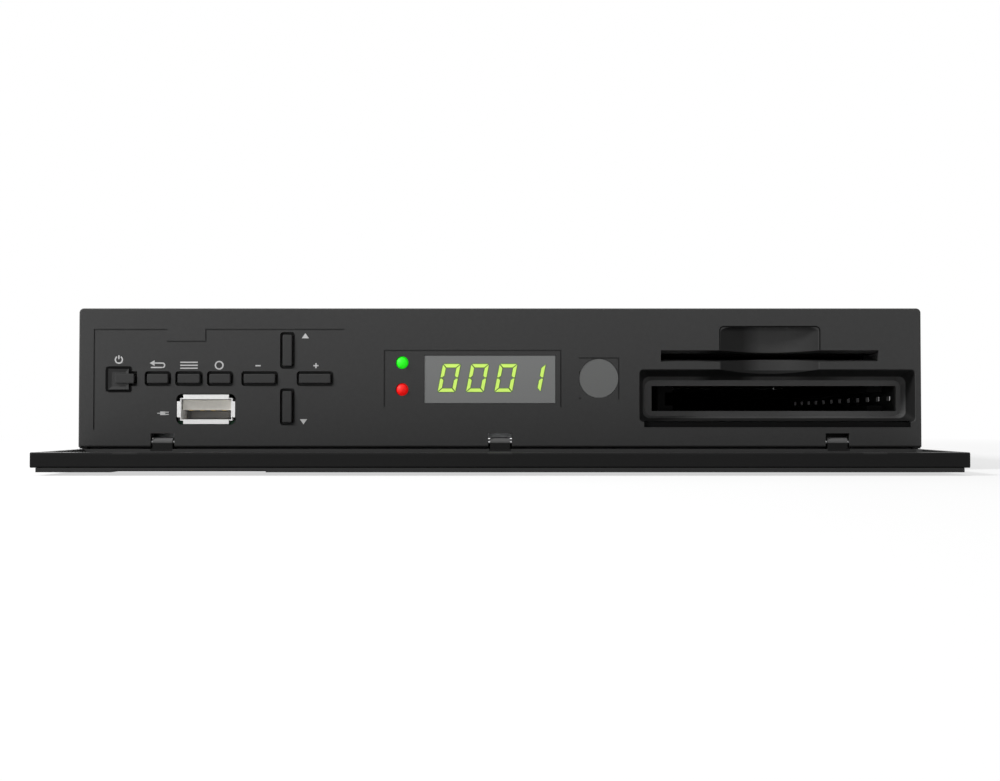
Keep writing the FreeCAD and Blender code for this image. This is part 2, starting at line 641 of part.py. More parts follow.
def lamps():
    """Two round lamps with domed fronts, flanges and wire legs."""
    for node, colour, level in (("green_lamp", "Green", "lampGreenLevel"),
                                ("red_lamp", "Red", "lampRedLevel")):
        level = up(level)
        start = "lampRadius - lampProud"
        dome = add("Part::Cone", "LampDome" + colour)
        dome.Placement = FreeCAD.Placement(FreeCAD.Vector(), TURNS["y"])
        bind(dome, "Radius1", "lampTip")
        bind(dome, "Radius2", "lampRadius")
        bind(dome, "Height", "lampRadius")
        place(dome, "lampX", "-lampProud", level)
        stem = rod("LampStem" + colour, "y", "lampRadius", ("lampX", start, level), "lampLength")
        rim = block("LampRim" + colour, around("lampX", "2 * lampRadius + 0.8"),
                    (start + " + lampLength - 1", start + " + lampLength"),
                    around(level, "2 * lampRadius + 0.8"))
        legs = [block("LampLeg%s%d" % (colour, side), around("lampX + %d * 1.27" % side, "0.5"),
                      (start + " + lampLength - 0.2", "keyBoardY"), around(level, "0.5"))
                for side in (-1, 1)]
        keep(node, fuse("Lamp" + colour, [dome, stem, rim] + legs))


def front_port():
    """The metal port with four flared lips, and the tongue inside it."""
    level = up("usbLevel")
    outer = block("PortOuter", around("usbX", "usbWidth"), ("0.4", "usbLength + 0.4"),
                  around(level, "usbHeight"))
    inner = block("PortInner", around("usbX", "usbWidth - 2 * usbGauge"), ("-1", "usbLength"),
                  around(level, "usbHeight - 2 * usbGauge"))
    tube = cut("PortTube", outer, [inner])
    lips = []
    side = "(usbWidth / 2 - usbGauge)"
    tall = "(usbHeight / 2 - usbGauge)"
    for step, (low, high) in enumerate(((tall, "usbLipHeight / 2"), ("-usbLipHeight / 2", "-" + tall))):
        lips.append(block("PortLip%d" % step, around("usbX", "usbLipWidth", "-1.6"), ("0.1", "0.5"),
                          ("%s + %s" % (level, low), "%s + %s" % (level, high))))
    for step, (low, high) in enumerate(((side, "usbLipWidth / 2"), ("-usbLipWidth / 2", "-" + side))):
        lips.append(block("PortSideLip%d" % step, ("usbX + " + low, "usbX + " + high), ("0.1", "0.5"),
                          around(level, "usbLipHeight", "-1.7")))
    keep("usb_shell", fuse("UsbShell", [tube] + lips))
    keep("usb_tongue", block("UsbTongue", around("usbX", "usbTongueWidth"),
                             ("1.4", "usbLength"),
                             (level + " + 0.15", level + " + 0.15 + usbTongueHeight")))


def feet():
    """Four rubber feet, each with a stub through the floor of the tray."""
    made = []
    for step, (x, y) in enumerate(foot_places()):
        cone = add("Part::Cone", "FootCone%d" % step)
        bind(cone, "Radius1", "footRadius - footTaper")
        bind(cone, "Radius2", "footRadius")
        bind(cone, "Height", "trayBottom")
        place(cone, x, y, "0")
        stub = post("FootStub%d" % step, "z", "footStubRadius - footStubGap", (x, y, "trayBottom - 1"),
                    "caseGauge + 1.6")
        made.append(fuse("Foot%d" % step, [cone, stub]))
    keep("rubber_feet", group("RubberFeet", made))


def foot_places():
    return [(x, y) for y in ("footFrontY", "footRearY") for x in ("-footSpread", "footSpread")]


# Sockets of the rear wall: name, centre x, width, bottom and height above the board, length, reach.
SOCKETS = [
    ("hdmi_port", "videoPortX", "15", "0.6", "5.6", "12", "1.2"),
    ("lan_port", "lanX", "16", "0", "13.4", "21", "0.8"),
    ("optical_port", "opticX", "9.6", "0", "9.8", "13", "0.6"),
    ("sound_jack", "soundX", "8", "0", "7.6", "13", "1.4"),
    ("power_inlet", "powerInX", "9", "0", "11", "14", "0.6"),
]


def rear_tools():
    """Openings in the rear wall for each socket."""
    tools = []
    for name, x, width, low, height, _, _ in SOCKETS:
        tools.append(block(name + "Opening", around(x, width, "0.25"),
                           ("caseLength - caseGauge - 1", "caseLength + 1"),
                           ("boardTop - 0.25", "boardTop + %s + %s + 0.25" % (low, height))))
    for step in range(2):
        tools.append(rod("AerialOpening%d" % step, "y", "aerialBase + 0.2",
                         (aerial_place(step), "caseLength - caseGauge - 1", up("aerialLevel")),
                         "caseGauge + 2"))
    return tools


def aerial_place(step):
    return "aerialX + %d * aerialPitch" % step


def chassis_tray():
    """The folded floor, side lips and rear wall of sheet steel."""
    side = "halfTray"
    y = ("caseFront + 0.5", "caseLength")
    floor = block("TrayFloor", ("-" + side, side), y, ("trayBottom", "trayTop"))
    left = block("TrayLeft", ("-" + side, "-%s + caseGauge" % side), y,
                 ("trayBottom", "trayTop + traySideLip"))
    right = block("TrayRight", (side + " - caseGauge", side), y,
                  ("trayBottom", "trayTop + traySideLip"))
    front = block("TrayFront", ("-" + side, side), (y[0], y[0] + " + caseGauge"),
                  ("trayBottom", "trayTop + 1.6"))
    rear = block("TrayRear", ("-" + side, side), ("caseLength - caseGauge", "caseLength"),
                 ("trayBottom", "coverUnder - trayGap"))
    tabs = [block("TrayTab%d" % step, around(x, "9"), ("caseLength - 8", "caseLength"),
                  ("coverUnder - trayGap - caseGauge", "coverUnder - trayGap"))
            for step, x in enumerate(("-halfCover / 2", "halfCover / 2"))]
    whole = fuse("TraySolid", [floor, left, right, front, rear] + tabs)
    tools = rear_tools()
    for step, (x, foot_y) in enumerate(foot_places()):
        tools.append(post("FootHole%d" % step, "z", "footStubRadius", (x, foot_y, "trayBottom - 1"),
                          "caseGauge + 2"))
    for step in range(12):
        tools.append(block("FloorVent%d" % step, around("-44 + %d * 8" % step, "2.4"), ("70", "104"),
                           ("trayBottom - 1", "trayTop + 1")))
    tools += cover_screw_holes("Tray")
    keep("chassis_tray", cut("ChassisTray", whole, tools))


def cover_screw_places():
    return [(side, y) for side in (-1, 1) for y in ("coverScrewFrontY", "coverScrewRearY")]


def cover_screw_holes(name):
    holes = []
    for step, (side, y) in enumerate(cover_screw_places()):
        start = "halfTray - caseGauge - 1" if side > 0 else "-halfCover - 1"
        holes.append(post("%sScrewHole%d" % (name, step), "x", "coverScrewRadius",
                          (start, y, up("coverScrewLevel")), "2 * caseGauge + trayGap + 2"))
    return holes


def top_cover():
    """The folded lid and sides, vented on top and along both sides."""
    body = add("PartDesign::Body", "CoverFold")
    outline = new_sketch(body, "CoverOutline", "XZ_Plane", "-caseFront")
    outer = "halfCover"
    inner = "(halfCover - caseGauge)"
    draw_path(outline, "fold", [
        ("-" + outer, "trayBottom"), ("-" + outer, "coverTop"), (outer, "coverTop"),
        (outer, "trayBottom"), (inner, "trayBottom"), (inner, "coverUnder"),
        ("-" + inner, "coverUnder"), ("-" + inner, "trayBottom")])
    pad = extrude(body, "PartDesign::Pad", "CoverPad", outline, "caseLength - caseFront", True)
    top = number("coverUnder")
    inside = number("halfCover") - number("caseGauge")
    bend = round_body(body, "CoverBendInner", pad, "coverBend - caseGauge",
                      lambda edge, at: runs_along(edge, "y") and abs(at.z - top) < 0.1
                      and abs(at.x) < inside + 0.1)
    roof = number("coverTop")
    fold = round_body(body, "CoverBendOuter", bend, "coverBend",
                      lambda edge, at: runs_along(edge, "y") and abs(at.z - roof) < 0.1)
    slots = new_sketch(body, "SideVent", "YZ_Plane", "-halfCover - 1")
    draw_box(slots, "slot", ("ventFirstY - ventLength / 2", "ventFirstY + ventLength / 2"),
             around(up("ventLevel"), "ventHeight"))
    vent = extrude(body, "PartDesign::Pocket", "SideVentPocket", slots, "2 * halfCover + 2", True)
    rows = body.newObject("PartDesign::LinearPattern", "SideVentRow")
    rows.Originals = [vent]
    rows.Direction = (slots, ["H_Axis"])
    bind(rows, "Length", "ventPitch * (ventCount - 1)")
    bind(rows, "Occurrences", "ventCount")
    body.Tip = rows
    document.recompute()
    if rows.Shape.Volume >= fold.Shape.Volume - 1:
        raise RuntimeError("the side vents were not cut")
    tools = []
    for row in range(2):
        for step in range(SIZES["topVentCount"]):
            x = "topVentX + %d * topVentPitch" % step
            y = "topVentY + %d * (topVentLength + 6)" % row
            tools.append(block("TopVent%d_%d" % (row, step), around(x, "topVentWidth"),
                               around(y, "topVentLength"), ("coverUnder - 1", "coverTop + 1")))
    tools += cover_screw_holes("Cover")
    keep("top_cover", cut("TopCover", body, tools))


def cover_screws():
    made = []
    for step, (side, y) in enumerate(cover_screw_places()):
        z = up("coverScrewLevel")
        if side > 0:
            shank = ("halfCover - coverScrewReach", y, z)
            head = ("halfCover", y, z)
        else:
            shank = ("-halfCover", y, z)
            head = ("-halfCover - screwHeadHeight", y, z)
        pin = post("CoverShank%d" % step, "x", "coverScrewRadius", shank, "coverScrewReach")
        cap = rod("CoverHead%d" % step, "x", "coverScrewHead", head, "screwHeadHeight")
        made.append(fuse("CoverScrew%d" % step, [pin, cap]))
    keep("cover_screws", group("CoverScrews", made))


def board_places():
    return [("-boardSide + 5", "boardFrontY + 6"), ("opticX + 18", "boardFrontY + 6"),
            ("-boardSide + 5", "boardFrontY + 83"), ("opticX + 18", "boardRear - 30"),
            ("boardSide - 7", "boardRear - 20")]


def main_board():
    """The lower board with its tongue under the front port, on five standoffs."""
    slab = block("MainSlab", ("-boardSide", "boardSide"), ("boardFrontY", "boardRear"),
                 ("boardBottom", "boardTop"))
    tongue = block("MainTongue", around("usbX", "usbLipWidth", "3"), ("faceWall + 1.5", "boardFrontY + 1"),
                   ("boardBottom", "boardTop"))
    holes, posts, screws = [], [], []
    for step, (x, y) in enumerate(board_places()):
        holes.append(post("MainHole%d" % step, "z", "boardScrewRadius + screwGap",
                          (x, y, "boardBottom - 1"), "boardThickness + 2"))
        sleeve = post("Post%d" % step, "z", "standoffRadius", (x, y, "trayTop"), "standoffHeight")
        bore = post("PostBore%d" % step, "z", "boardScrewRadius", (x, y, "trayTop - 1"),
                    "standoffHeight + 2")
        posts.append(cut("Standoff%d" % step, sleeve, [bore]))
        shank = post("BoardShank%d" % step, "z", "boardScrewRadius", (x, y, "trayTop"),
                     "standoffHeight + boardThickness")
        head = post("BoardHead%d" % step, "z", "boardScrewHead", (x, y, "boardTop"), "screwHeadHeight")
        screws.append(fuse("BoardScrew%d" % step, [shank, head]))
    keep("main_board", cut("MainBoard", fuse("MainSolid", [slab, tongue]), holes))
    keep("standoffs", group("Standoffs", posts))
    keep("board_screws", group("BoardScrews", screws))


def on_board(name, x, y, width, length, height):
    """A plain block that stands on the main board."""
    return block(name, around(x, width), around(y, length), ("boardTop", "boardTop + %s" % height))


def board_parts():
    """Chips, coils, capacitors and the tuner's can."""
    keep("main_chip", on_board("MainChip", "chipX", "84", "chipSide", "chipSide", "chipHeight"))
    sink = "boardTop + chipHeight"
    base = block("SinkBase", around("chipX", "sinkSide"), around("84", "sinkSide"),
                 (sink, sink + " + sinkBase"))
    fins = [block("SinkFin%d" % step, around("chipX + %d * finPitch" % step, "finThickness"),
                  around("84", "sinkSide"), (sink + " + sinkBase / 2", "boardTop + sinkHeight"))
            for step in range(-4, 5)]
    keep("heat_sink", fuse("HeatSink", [base] + fins))
    chips = [on_board("Memory%d" % step, "memoryLeft", "74 + %d * 17" % step, "9", "13", "1.2")
             for step in range(2)]
    chips.append(on_board("Memory2", "memoryRight", "84", "12", "18", "1.2"))
    keep("memory_chips", group("MemoryChips", chips))
    cans = [rod("Capacitor%d" % step, "z", "canRadius", (x, y, "boardTop"), "canHeight")
            for step, (x, y) in enumerate((("6", "120"), ("16", "120"), ("-6", "120"),
                                           ("-38", "124"), ("-70", "60")))]
    keep("capacitors", group("Capacitors", cans))
    coils = [on_board("Coil%d" % step, "coilX + %d * coilPitch" % step, "76", "coilSize", "coilSize", "4")
             for step in range(2)]
    keep("power_coils", group("PowerCoils", coils))
    can = block("TunerCanOuter", ("aerialX - 8", "aerialX + aerialPitch + 8"), ("114", "boardRear - 0.5"),
                ("boardTop", up("aerialLevel + 6.5")))
    keep("tuner_can", can)
    barrels, cores = [], []
    for step in range(2):
        x, z = aerial_place(step), up("aerialLevel")
        shaft = rod("AerialShaft%d" % step, "y", "aerialRadius", (x, "boardRear - 0.5", z),
                    "caseLength - boardRear + 0.5 + aerialReach")
        base = rod("AerialFoot%d" % step, "y", "aerialBase", (x, "boardRear - 0.5", z),
                   "caseLength - boardRear + 0.5 + aerialStep")
        bore = rod("AerialBore%d" % step, "y", "aerialBore", (x, "boardRear + 1", z), "30")
        barrels.append(cut("AerialBarrel%d" % step, fuse("AerialBody%d" % step, [shaft, base]), [bore]))
        core = rod("AerialCore%d" % step, "y", "aerialBore", (x, "boardRear + 1", z),
                   "caseLength - boardRear - 1 + aerialReach - 0.6")
        hole = post("AerialPinHole%d" % step, "y", "0.7", (x, "caseLength - 2", z), "30")
        cores.append(cut("AerialInsulator%d" % step, core, [hole]))
    keep("aerial_sockets", group("AerialSockets", barrels))
    keep("aerial_insulators", group("AerialInsulators", cores))


def rear_sockets():
    """The sockets on the board's rear edge, each with its own mouth."""
    for name, x, width, low, height, length, reach in SOCKETS:
        y = ("caseLength + %s - %s" % (reach, length), "caseLength + " + reach)
        z = ("boardTop", "boardTop + %s + %s" % (low, height))
        case = block(name + "Case", around(x, width), y, z)
        middle = "boardTop + %s + %s / 2" % (low, height)
        if name == "hdmi_port":
            mouth = [block(name + "Mouth", around(x, "13.9"), (y[1] + " - 9", y[1] + " + 1"),
                           around(middle, "4.4"))]
            tongue = block(name + "Tongue", around(x, "11"), (y[1] + " - 9.5", y[1] + " - 1"),
                           around(middle + " + 0.3", "1.2"))
            keep(name, fuse(name + "Whole", [cut(name + "Open", case, mouth), tongue]))
            continue
        if name == "lan_port":
            mouth = [block(name + "Mouth", around(x, "11.7"), (y[1] + " - 13", y[1] + " + 1"),
                           (z[0] + " + 2.2", z[0] + " + 9.4")),
                     block(name + "Latch", around(x, "6"), (y[1] + " - 13", y[1] + " + 1"),
                           (z[0] + " + 9", z[0] + " + 11.4"))]
        elif name == "optical_port":
            mouth = [block(name + "Mouth", around(x, "5.6"), (y[1] + " - 5", y[1] + " + 1"),
                           around(middle, "5.6"))]
        elif name == "sound_jack":
            mouth = [rod(name + "Mouth", "y", "1.8", (x, y[1] + " - 12", middle), "20")]
        else:
            mouth = [rod(name + "Mouth", "y", "3.2", (x, y[1] + " - 9.5", middle), "20")]
            pin = rod(name + "Pin", "y", "1", (x, y[1] + " - 10", middle), "9")
            keep(name, fuse(name + "Whole", [cut(name + "Open", case, mouth), pin]))
            continue
        keep(name, cut(name + "Whole", case, mouth))


def card_cage():
    """The module's guide: two ledges a side, a roof, and one open window beside the case wall."""
    left, right = around("moduleX", "moduleWidth")
    floor = up("moduleLevel - moduleEdge / 2")
    roof = up("moduleLevel + moduleEdge / 2")
    y = ("11", "118")
    wall = "1.8"
    lower_left = block("CageLowerLeft", (left + " - 2.2", left + " + 1.7"), y, (floor + " - 1.9", floor))
    upper_left = block("CageUpperLeft", (left + " - 2.2", left + " + 1.7"), y, (roof, roof + " + 1.3"))
    wall_left = block("CageWallLeft", (left + " - 2.2", left + " - 0.3"), ("boardFrontY", y[1]),
                      ("boardTop", "cageTop"))
    wall_front = block("CageWallFront", (left + " - 2.2", left + " - 0.3"), y, (floor + " - 1.9", "cageTop"))
    lower_right = block("CageLowerRight", (right + " - 1.7", right + " + 2.2"), y, (floor + " - 1.9", floor))
    upper_right = block("CageUpperRight", (right + " - 1.7", right + " + 2.2"), y, (roof, roof + " + 1.3"))
    low_right = block("CageFootRight", (right + " + 0.3", right + " + 2.2"), ("boardFrontY", y[1]),
                      ("boardTop", floor))
    high_right = block("CageSideRight", (right + " + 0.3", right + " + 2.2"), y, (roof, "cageTop"))
    post = block("CagePost", (right + " + 0.3", right + " + 2.2"), ("114", y[1]), ("boardTop", "cageTop"))
    lid = block("CageLid", (left + " - 2.2", right + " + 2.2"), y, ("cageTop - 0.8", "cageTop"))
    keep("module_cage", fuse("ModuleCage", [lower_left, upper_left, wall_left, wall_front, lower_right,
                                            upper_right, low_right, high_right, post, lid]))
    head = block("ConnectorHead", around("moduleX", "50"), ("99", "111"),
                 ("boardTop", up("moduleLevel + 4.6")))
    mouth = block("ConnectorMouth", around("moduleX", "46"), ("98", "106"), around(up("moduleLevel"), "3"))
    pins = []
    for row in (-1, 1):
        for step in range(17):
            pins.append(block("ConnectorPin%d_%d" % (row, step),
                              around("moduleX - 20.32 + %d * 2.54" % step, "0.45"), ("101.5", "107"),
                              around(up("moduleLevel + %d * 0.64" % row), "0.45")))
    keep("module_connector", fuse("ModuleConnector", [cut("ConnectorShell", head, [mouth])] + pins))


def card_reader():
    """The smart-card reader on the cage's roof, with its flat ribbon down to the board."""
    case = block("ReaderCase", ("slotLeft - 1.6", "slotRight + 1.6"), ("15", "74"),
                 ("cageTop + 1", up("slotLevel + 2.9")))
    feet_ = [block("ReaderFoot%d" % step, around(x, "5"), around(y, "5"), ("cageTop", "cageTop + 1.2"))
             for step, (x, y) in enumerate((("slotLeft + 6", "24"), ("slotRight - 6", "24"),
                                            ("slotLeft + 6", "68"), ("slotRight - 6", "68")))]
    slot = block("ReaderSlot", ("slotLeft + 0.2", "slotRight - 0.2"), ("14", "70"),
                 around(up("slotLevel"), "1.3"))
    window = block("ReaderWindow", around("scoopX", "16"), ("30", "46"),
                   (up("slotLevel"), up("slotLevel + 4")))
    whole = fuse("ReaderSolid", [case] + feet_)
    keep("card_reader", cut("CardReader", whole, [slot, window]))
    x = around("scoopX", "16")
    level = "cageTop + 2.4"
    flat = block("RibbonFlat", x, ("74", "124.4"), (level, level + " + 0.4"))
    drop = block("RibbonDrop", x, ("124", "124.4"), ("boardTop + 3.4", level + " + 0.4"))
    keep("reader_ribbon", fuse("ReaderRibbon", [flat, drop]))
    keep("ribbon_socket", on_board("RibbonSocket", "scoopX", "124.2", "20", "5", "3.4"))


def board_header():
    """The angled header that joins the key board to the main board."""
    pins = block("HeaderPins", around("0", "30"), ("keyBoardBack", "keyBoardBack + 6"),
                 ("boardTop + 1.2", "boardTop + 3.8"))
    case = block("HeaderCase", around("0", "32"), ("boardFrontY + 0.5", "boardFrontY + 9"),
                 ("boardTop", "boardTop + 6"))
    keep("board_header", fuse("BoardHeader", [pins, case]))


front_bezel()
hinge_pins()
flap()
keys()
key_switches()
key_board()
display()
lamps()
front_port()
feet()
chassis_tray()
top_cover()
cover_screws()
main_board()
board_parts()
rear_sockets()
card_cage()
card_reader()
board_header()
document.recompute()


def check():
    """Stop if any object failed or any piece is empty or invalid."""
    for item in document.Objects:
        if "Invalid" in item.State or "Error" in item.State:
            raise RuntimeError("%s is in error: %s" % (item.Name, item.State))
    for node, item in PIECES.items():
        if item.Shape.isNull() or not item.Shape.isValid():
            raise RuntimeError("%s has no valid shape" % node)


check()
os.makedirs("parts", exist_ok=True)
for node, item in PIECES.items():
    item.Shape.exportStep("parts/%s.step" % node)
    print(node, len(item.Shape.Solids), round(item.Shape.Volume, 1))
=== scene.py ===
import math

import bmesh
import bpy
from bpy.props import FloatProperty, FloatVectorProperty, PointerProperty
from mathutils import Matrix, Vector


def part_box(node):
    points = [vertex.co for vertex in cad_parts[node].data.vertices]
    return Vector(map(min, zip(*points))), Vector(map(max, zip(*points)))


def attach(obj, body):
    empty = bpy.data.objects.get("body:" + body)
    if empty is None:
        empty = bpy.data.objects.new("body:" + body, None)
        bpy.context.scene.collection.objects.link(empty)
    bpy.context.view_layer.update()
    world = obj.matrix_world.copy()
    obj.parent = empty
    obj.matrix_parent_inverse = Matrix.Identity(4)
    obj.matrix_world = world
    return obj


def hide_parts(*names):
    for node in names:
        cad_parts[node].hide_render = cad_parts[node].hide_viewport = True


bl_info = {
    "name": "Satellite receiver looks",
    "version": (1, 0, 0),
    "blender": (4, 5, 0),
    "location": "3D View > Sidebar > Receiver",
    "description": "Finishes, printed marks, lit digits and small parts of a satellite receiver",
    "category": "Object",
}

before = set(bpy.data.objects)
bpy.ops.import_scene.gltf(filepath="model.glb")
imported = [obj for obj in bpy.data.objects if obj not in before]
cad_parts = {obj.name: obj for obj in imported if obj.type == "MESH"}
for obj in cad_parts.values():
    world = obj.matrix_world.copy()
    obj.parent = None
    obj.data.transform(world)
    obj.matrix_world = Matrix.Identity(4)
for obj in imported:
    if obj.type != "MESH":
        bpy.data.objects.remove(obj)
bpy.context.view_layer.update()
MM = 0.001

BEZEL_LOW, BEZEL_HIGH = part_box("front_bezel")
FACE_Y = BEZEL_LOW.y
FRONT_HEIGHT = 35.0 * MM
SILL_Z = BEZEL_HIGH.z - FRONT_HEIGHT
HINGE_PLACES = (-85.0, 0.0, 85.0)
KEY_NODES = [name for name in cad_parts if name.endswith("_key")]


def on_face(x, height, proud=0.0):
    """A point on the bezel's face: millimetres across, above the lower edge and out of the face."""
    return Vector((x * MM, FACE_Y - proud * MM, SILL_Z + height * MM))


# Shader building

class Val:
    """A node socket that takes part in Python arithmetic and adds Math nodes."""

    def __init__(self, build, socket):
        self.build = build
        self.socket = socket

    def maths(self, operation, *others):
        return self.build.node("ShaderNodeMath", {"operation": operation}, self, *others)

    def __add__(self, other):
        return self.maths("ADD", other)

    __radd__ = __add__

    def __mul__(self, other):
        return self.maths("MULTIPLY", other)

    __rmul__ = __mul__

    def __sub__(self, other):
        return self.maths("SUBTRACT", other)

    def __rsub__(self, other):
        return (self * -1.0) + other

    def __truediv__(self, other):
        return self.maths("DIVIDE", other)

    def __pow__(self, other):
        return self.maths("POWER", other)

    def over(self, limit):
        return self.maths("GREATER_THAN", limit)

    def absolute(self):
        return self.maths("ABSOLUTE")

    def clamp(self):
        return self.maths("MAXIMUM", 0.0).maths("MINIMUM", 1.0)


class Nodes:
    """A node tree, the one call that adds a node to it and the one that fills a socket."""

    def __init__(self, tree):
        self.tree = tree

    def node(self, kind, settings, *inputs, out=0, **named):
        item = self.tree.nodes.new(kind)
        for key, value in settings.items():
            setattr(item, key, value)
        for place, value in list(enumerate(inputs)) + list(named.items()):
            self.put(item.inputs[place], value)
        return Val(self, item.outputs[out])

    def put(self, target, value):
        if isinstance(value, Val):
            self.tree.links.new(value.socket, target)
        elif value is not None:
            target.default_value = value

    def background_rays(self):
        """One for the rays that show the white background: straight, mirrored or through glass."""
        seen, mirrored, through = (self.node("ShaderNodeLightPath", {}, out=f"Is {kind} Ray")
                                   for kind in ("Camera", "Glossy", "Transmission"))
        return seen.maths("MAXIMUM", mirrored).maths("MAXIMUM", through)


class Shader(Nodes):
    """One material and the calls that fill its node tree."""

    def __init__(self, name):
        self.material = bpy.data.materials.new(name)
        self.material.use_nodes = True
        super().__init__(self.material.node_tree)
        self.surface = self.tree.nodes["Principled BSDF"]

    def set(self, **values):
        for key, value in values.items():
            self.put(self.surface.inputs[key.replace("_", " ")], value)
        return self

    def place(self):
        return self.node("ShaderNodeTexCoord", {}, out="Object")

    def axis(self, letter):
        return self.node("ShaderNodeSeparateXYZ", {}, self.place(), out=letter)

    def noise(self, scale, detail=2.0, roughness=0.5, stretch=None):
        spot = self.place()
        if stretch:
            spot = self.node("ShaderNodeMapping", {}, Vector=spot, Scale=stretch)
        return self.node("ShaderNodeTexNoise", {}, Vector=spot, Scale=scale, Detail=detail,
                         Roughness=roughness)

    def cells(self, scale):
        return self.node("ShaderNodeTexVoronoi", {}, Vector=self.place(), Scale=scale)

    def blend(self, factor, first, second):
        """Mix two colours, which are the seventh and eighth sockets of a Mix node."""
        return self.node("ShaderNodeMix", {"data_type": "RGBA"}, factor, *[None] * 5, first, second,
                         out=2)

    def whiten(self, share):
        """Lay a share of plain white over the surface for the rays that show the background."""
        white = self.node("ShaderNodeEmission", {}, Color=tone(1.0), Strength=1.0)
        mixed = self.node("ShaderNodeMixShader", {}, self.background_rays() * share,
                          Val(self, self.surface.outputs[0]), white)
        self.put(self.tree.nodes["Material Output"].inputs["Surface"], mixed)

    def bump(self, height, strength, distance):
        return self.node("ShaderNodeBump", {}, Strength=strength, Distance=distance, Height=height)


def tone(level):
    """A grey, as a colour with alpha."""
    return (level, level, level, 1.0)


def dimmed(colour, share):
    """A colour with a share of its brightness left."""
    return tuple(channel * share for channel in colour[:3]) + (1.0,)


MATERIALS = {}


def material(name, build):
    """Make a named material once."""
    if name not in MATERIALS:
        shader = Shader(name)
        build(shader)
        MATERIALS[name] = shader.material
    return MATERIALS[name]


def moulded(level, rough, grain=2600.0, depth=0.25, gloss=0.12):
    """Black moulded plastic: a fine spark grain, a little mottling and a soft sheen."""
    def build(shader):
        grains = shader.noise(grain, 3.0, 0.6)
        patches = shader.noise(38.0, 3.0, 0.55)
        colour = shader.blend(patches, tone(level * 0.92), tone(level * 1.08))
        shader.set(Base_Color=colour, Roughness=(patches * 0.10 + (rough - 0.05)),
                   Normal=shader.bump(grains, depth, 0.00004), Specular_IOR_Level=gloss)
    return build


def metal(colour, rough, brush=None):
    """Bare sheet or plated metal, with rolling marks where it is brushed."""
    def build(shader):
        fine = shader.noise(900.0, 2.0, 0.5, stretch=brush)
        stain = shader.noise(45.0, 3.0, 0.6)
        shader.set(Base_Color=shader.blend(stain, dimmed(colour, 0.82), colour), Metallic=1.0,
                   Roughness=(fine * 0.14 + (rough - 0.07)),
                   Normal=shader.bump(fine, 0.15, 0.00003))
    return build


def between(value, low, high, soft):
    """One inside a range of lengths in mm, fading to nothing over a soft edge outside it."""
    rise = (value - (low - soft) * MM) / (soft * MM)
    fall = ((high + soft) * MM - value) / (soft * MM)
    return rise.clamp() * fall.clamp()


def near_hinges(across, reach):
    """One within a reach of the middle of any of the three hinge arms."""
    return sum(between(across, middle - reach, middle + reach, 0.05) for middle in HINGE_PLACES)


def front_plastic_and_painted_light(shader):
    """The front's moulded black, with painted light on the funnel's collar and painted shade
    on the funnel's walls, at the sides of the finger scoop and in the hinge notches."""
    across, height = shader.axis("X"), shader.axis("Z") - SILL_Z
    depth = shader.axis("Y") - FACE_Y
    funnel = between(across, 34.9, 106.0, 0.2) * between(height, 3.0, 19.3, 0.2)
    # Masks for painted light on the collar and painted shade on the funnel's walls, the scoop's
    # left and right sides and the hinge notches
    walls = funnel * between(depth, 0.4, 3.9, 0.1)
    collar = funnel * between(depth, 4.2, 7.0, 0.1)
    scoop = between(height, 17.0, 32.0, 0.2) * between(depth, 0.15, 6.0, 0.1)
    left = scoop * between(across, 54.0, 61.5, 4.5)
    right = scoop * between(across, 80.0, 83.0, 7.0)
    notches = (near_hinges(across, 2.95) * between(height, 0.1, 3.7, 0.05)
               * between(depth, 0.3, 9.0, 0.05))
    moulded(0.045, 0.52)(shader)
    grain = shader.noise(900.0, 3.0, 0.5)
    colour = shader.blend(grain, tone(0.045), tone(0.051))
    # Lay the painted light and the painted shade over the grain
    for share, level in ((collar, 0.085), (walls, 0.012), (left * 0.9, 0.008),
                         (right * 0.6, 0.012), (notches, 0.004)):
        colour = shader.blend(share, colour, tone(level))
    shader.set(Base_Color=colour)


def port_plate_painted_reflection(shader):
    """Bright tin sheet for the front port, whitened further as a painted reflection of the lamps.
    """
    wear = shader.noise(700.0, 2.0, 0.5)
    shader.set(Base_Color=shader.blend(wear, (0.86, 0.86, 0.85, 1), (0.96, 0.96, 0.95, 1)),
               Metallic=0.15, Roughness=(wear * 0.1 + 0.34))


def painted(level, rough):
    """Textured powder paint on steel."""
    def build(shader):
        peel = shader.noise(1500.0, 4.0, 0.62)
        patches = shader.noise(30.0, 2.0, 0.5)
        shader.set(Base_Color=shader.blend(patches, tone(level * 0.9), tone(level * 1.15)),
                   Roughness=(peel * 0.2 + (rough - 0.1)),
                   Normal=shader.bump(peel, 0.5, 0.00012))
    return build


def dyed(colour, rough, grain=1200.0):
    """Coloured plastic with a faint grain."""
    def build(shader):
        grains = shader.noise(grain, 2.0, 0.5)
        shader.set(Base_Color=shader.blend(grains, dimmed(colour, 0.88), colour),
                   Roughness=(grains * 0.12 + (rough - 0.06)),
                   Normal=shader.bump(grains, 0.12, 0.00003))
    return build


def glowing(colour, strength, rough=0.25):
    """A lit plastic: its own colour, and the same colour as light."""
    def build(shader):
        core = shader.noise(500.0, 1.0, 0.5)
        shader.set(Base_Color=shader.blend(core, dimmed(colour, 0.8), colour), Roughness=rough,
                   Emission_Color=colour, Emission_Strength=strength)
    return build


def circuit(shader):
    """Green solder mask with copper tracks showing through."""
    x, y = shader.axis("X"), shader.axis("Y")
    cells = shader.cells(260.0)
    tracks = ((x * 900.0).maths("SINE") * (y * 700.0).maths("SINE")).absolute().over(0.86)
    mask = shader.blend(cells, (0.012, 0.075, 0.035, 1), (0.018, 0.11, 0.05, 1))
    shader.set(Base_Color=shader.blend(tracks, mask, (0.04, 0.19, 0.08, 1)),
               Roughness=(cells * 0.2 + 0.3))


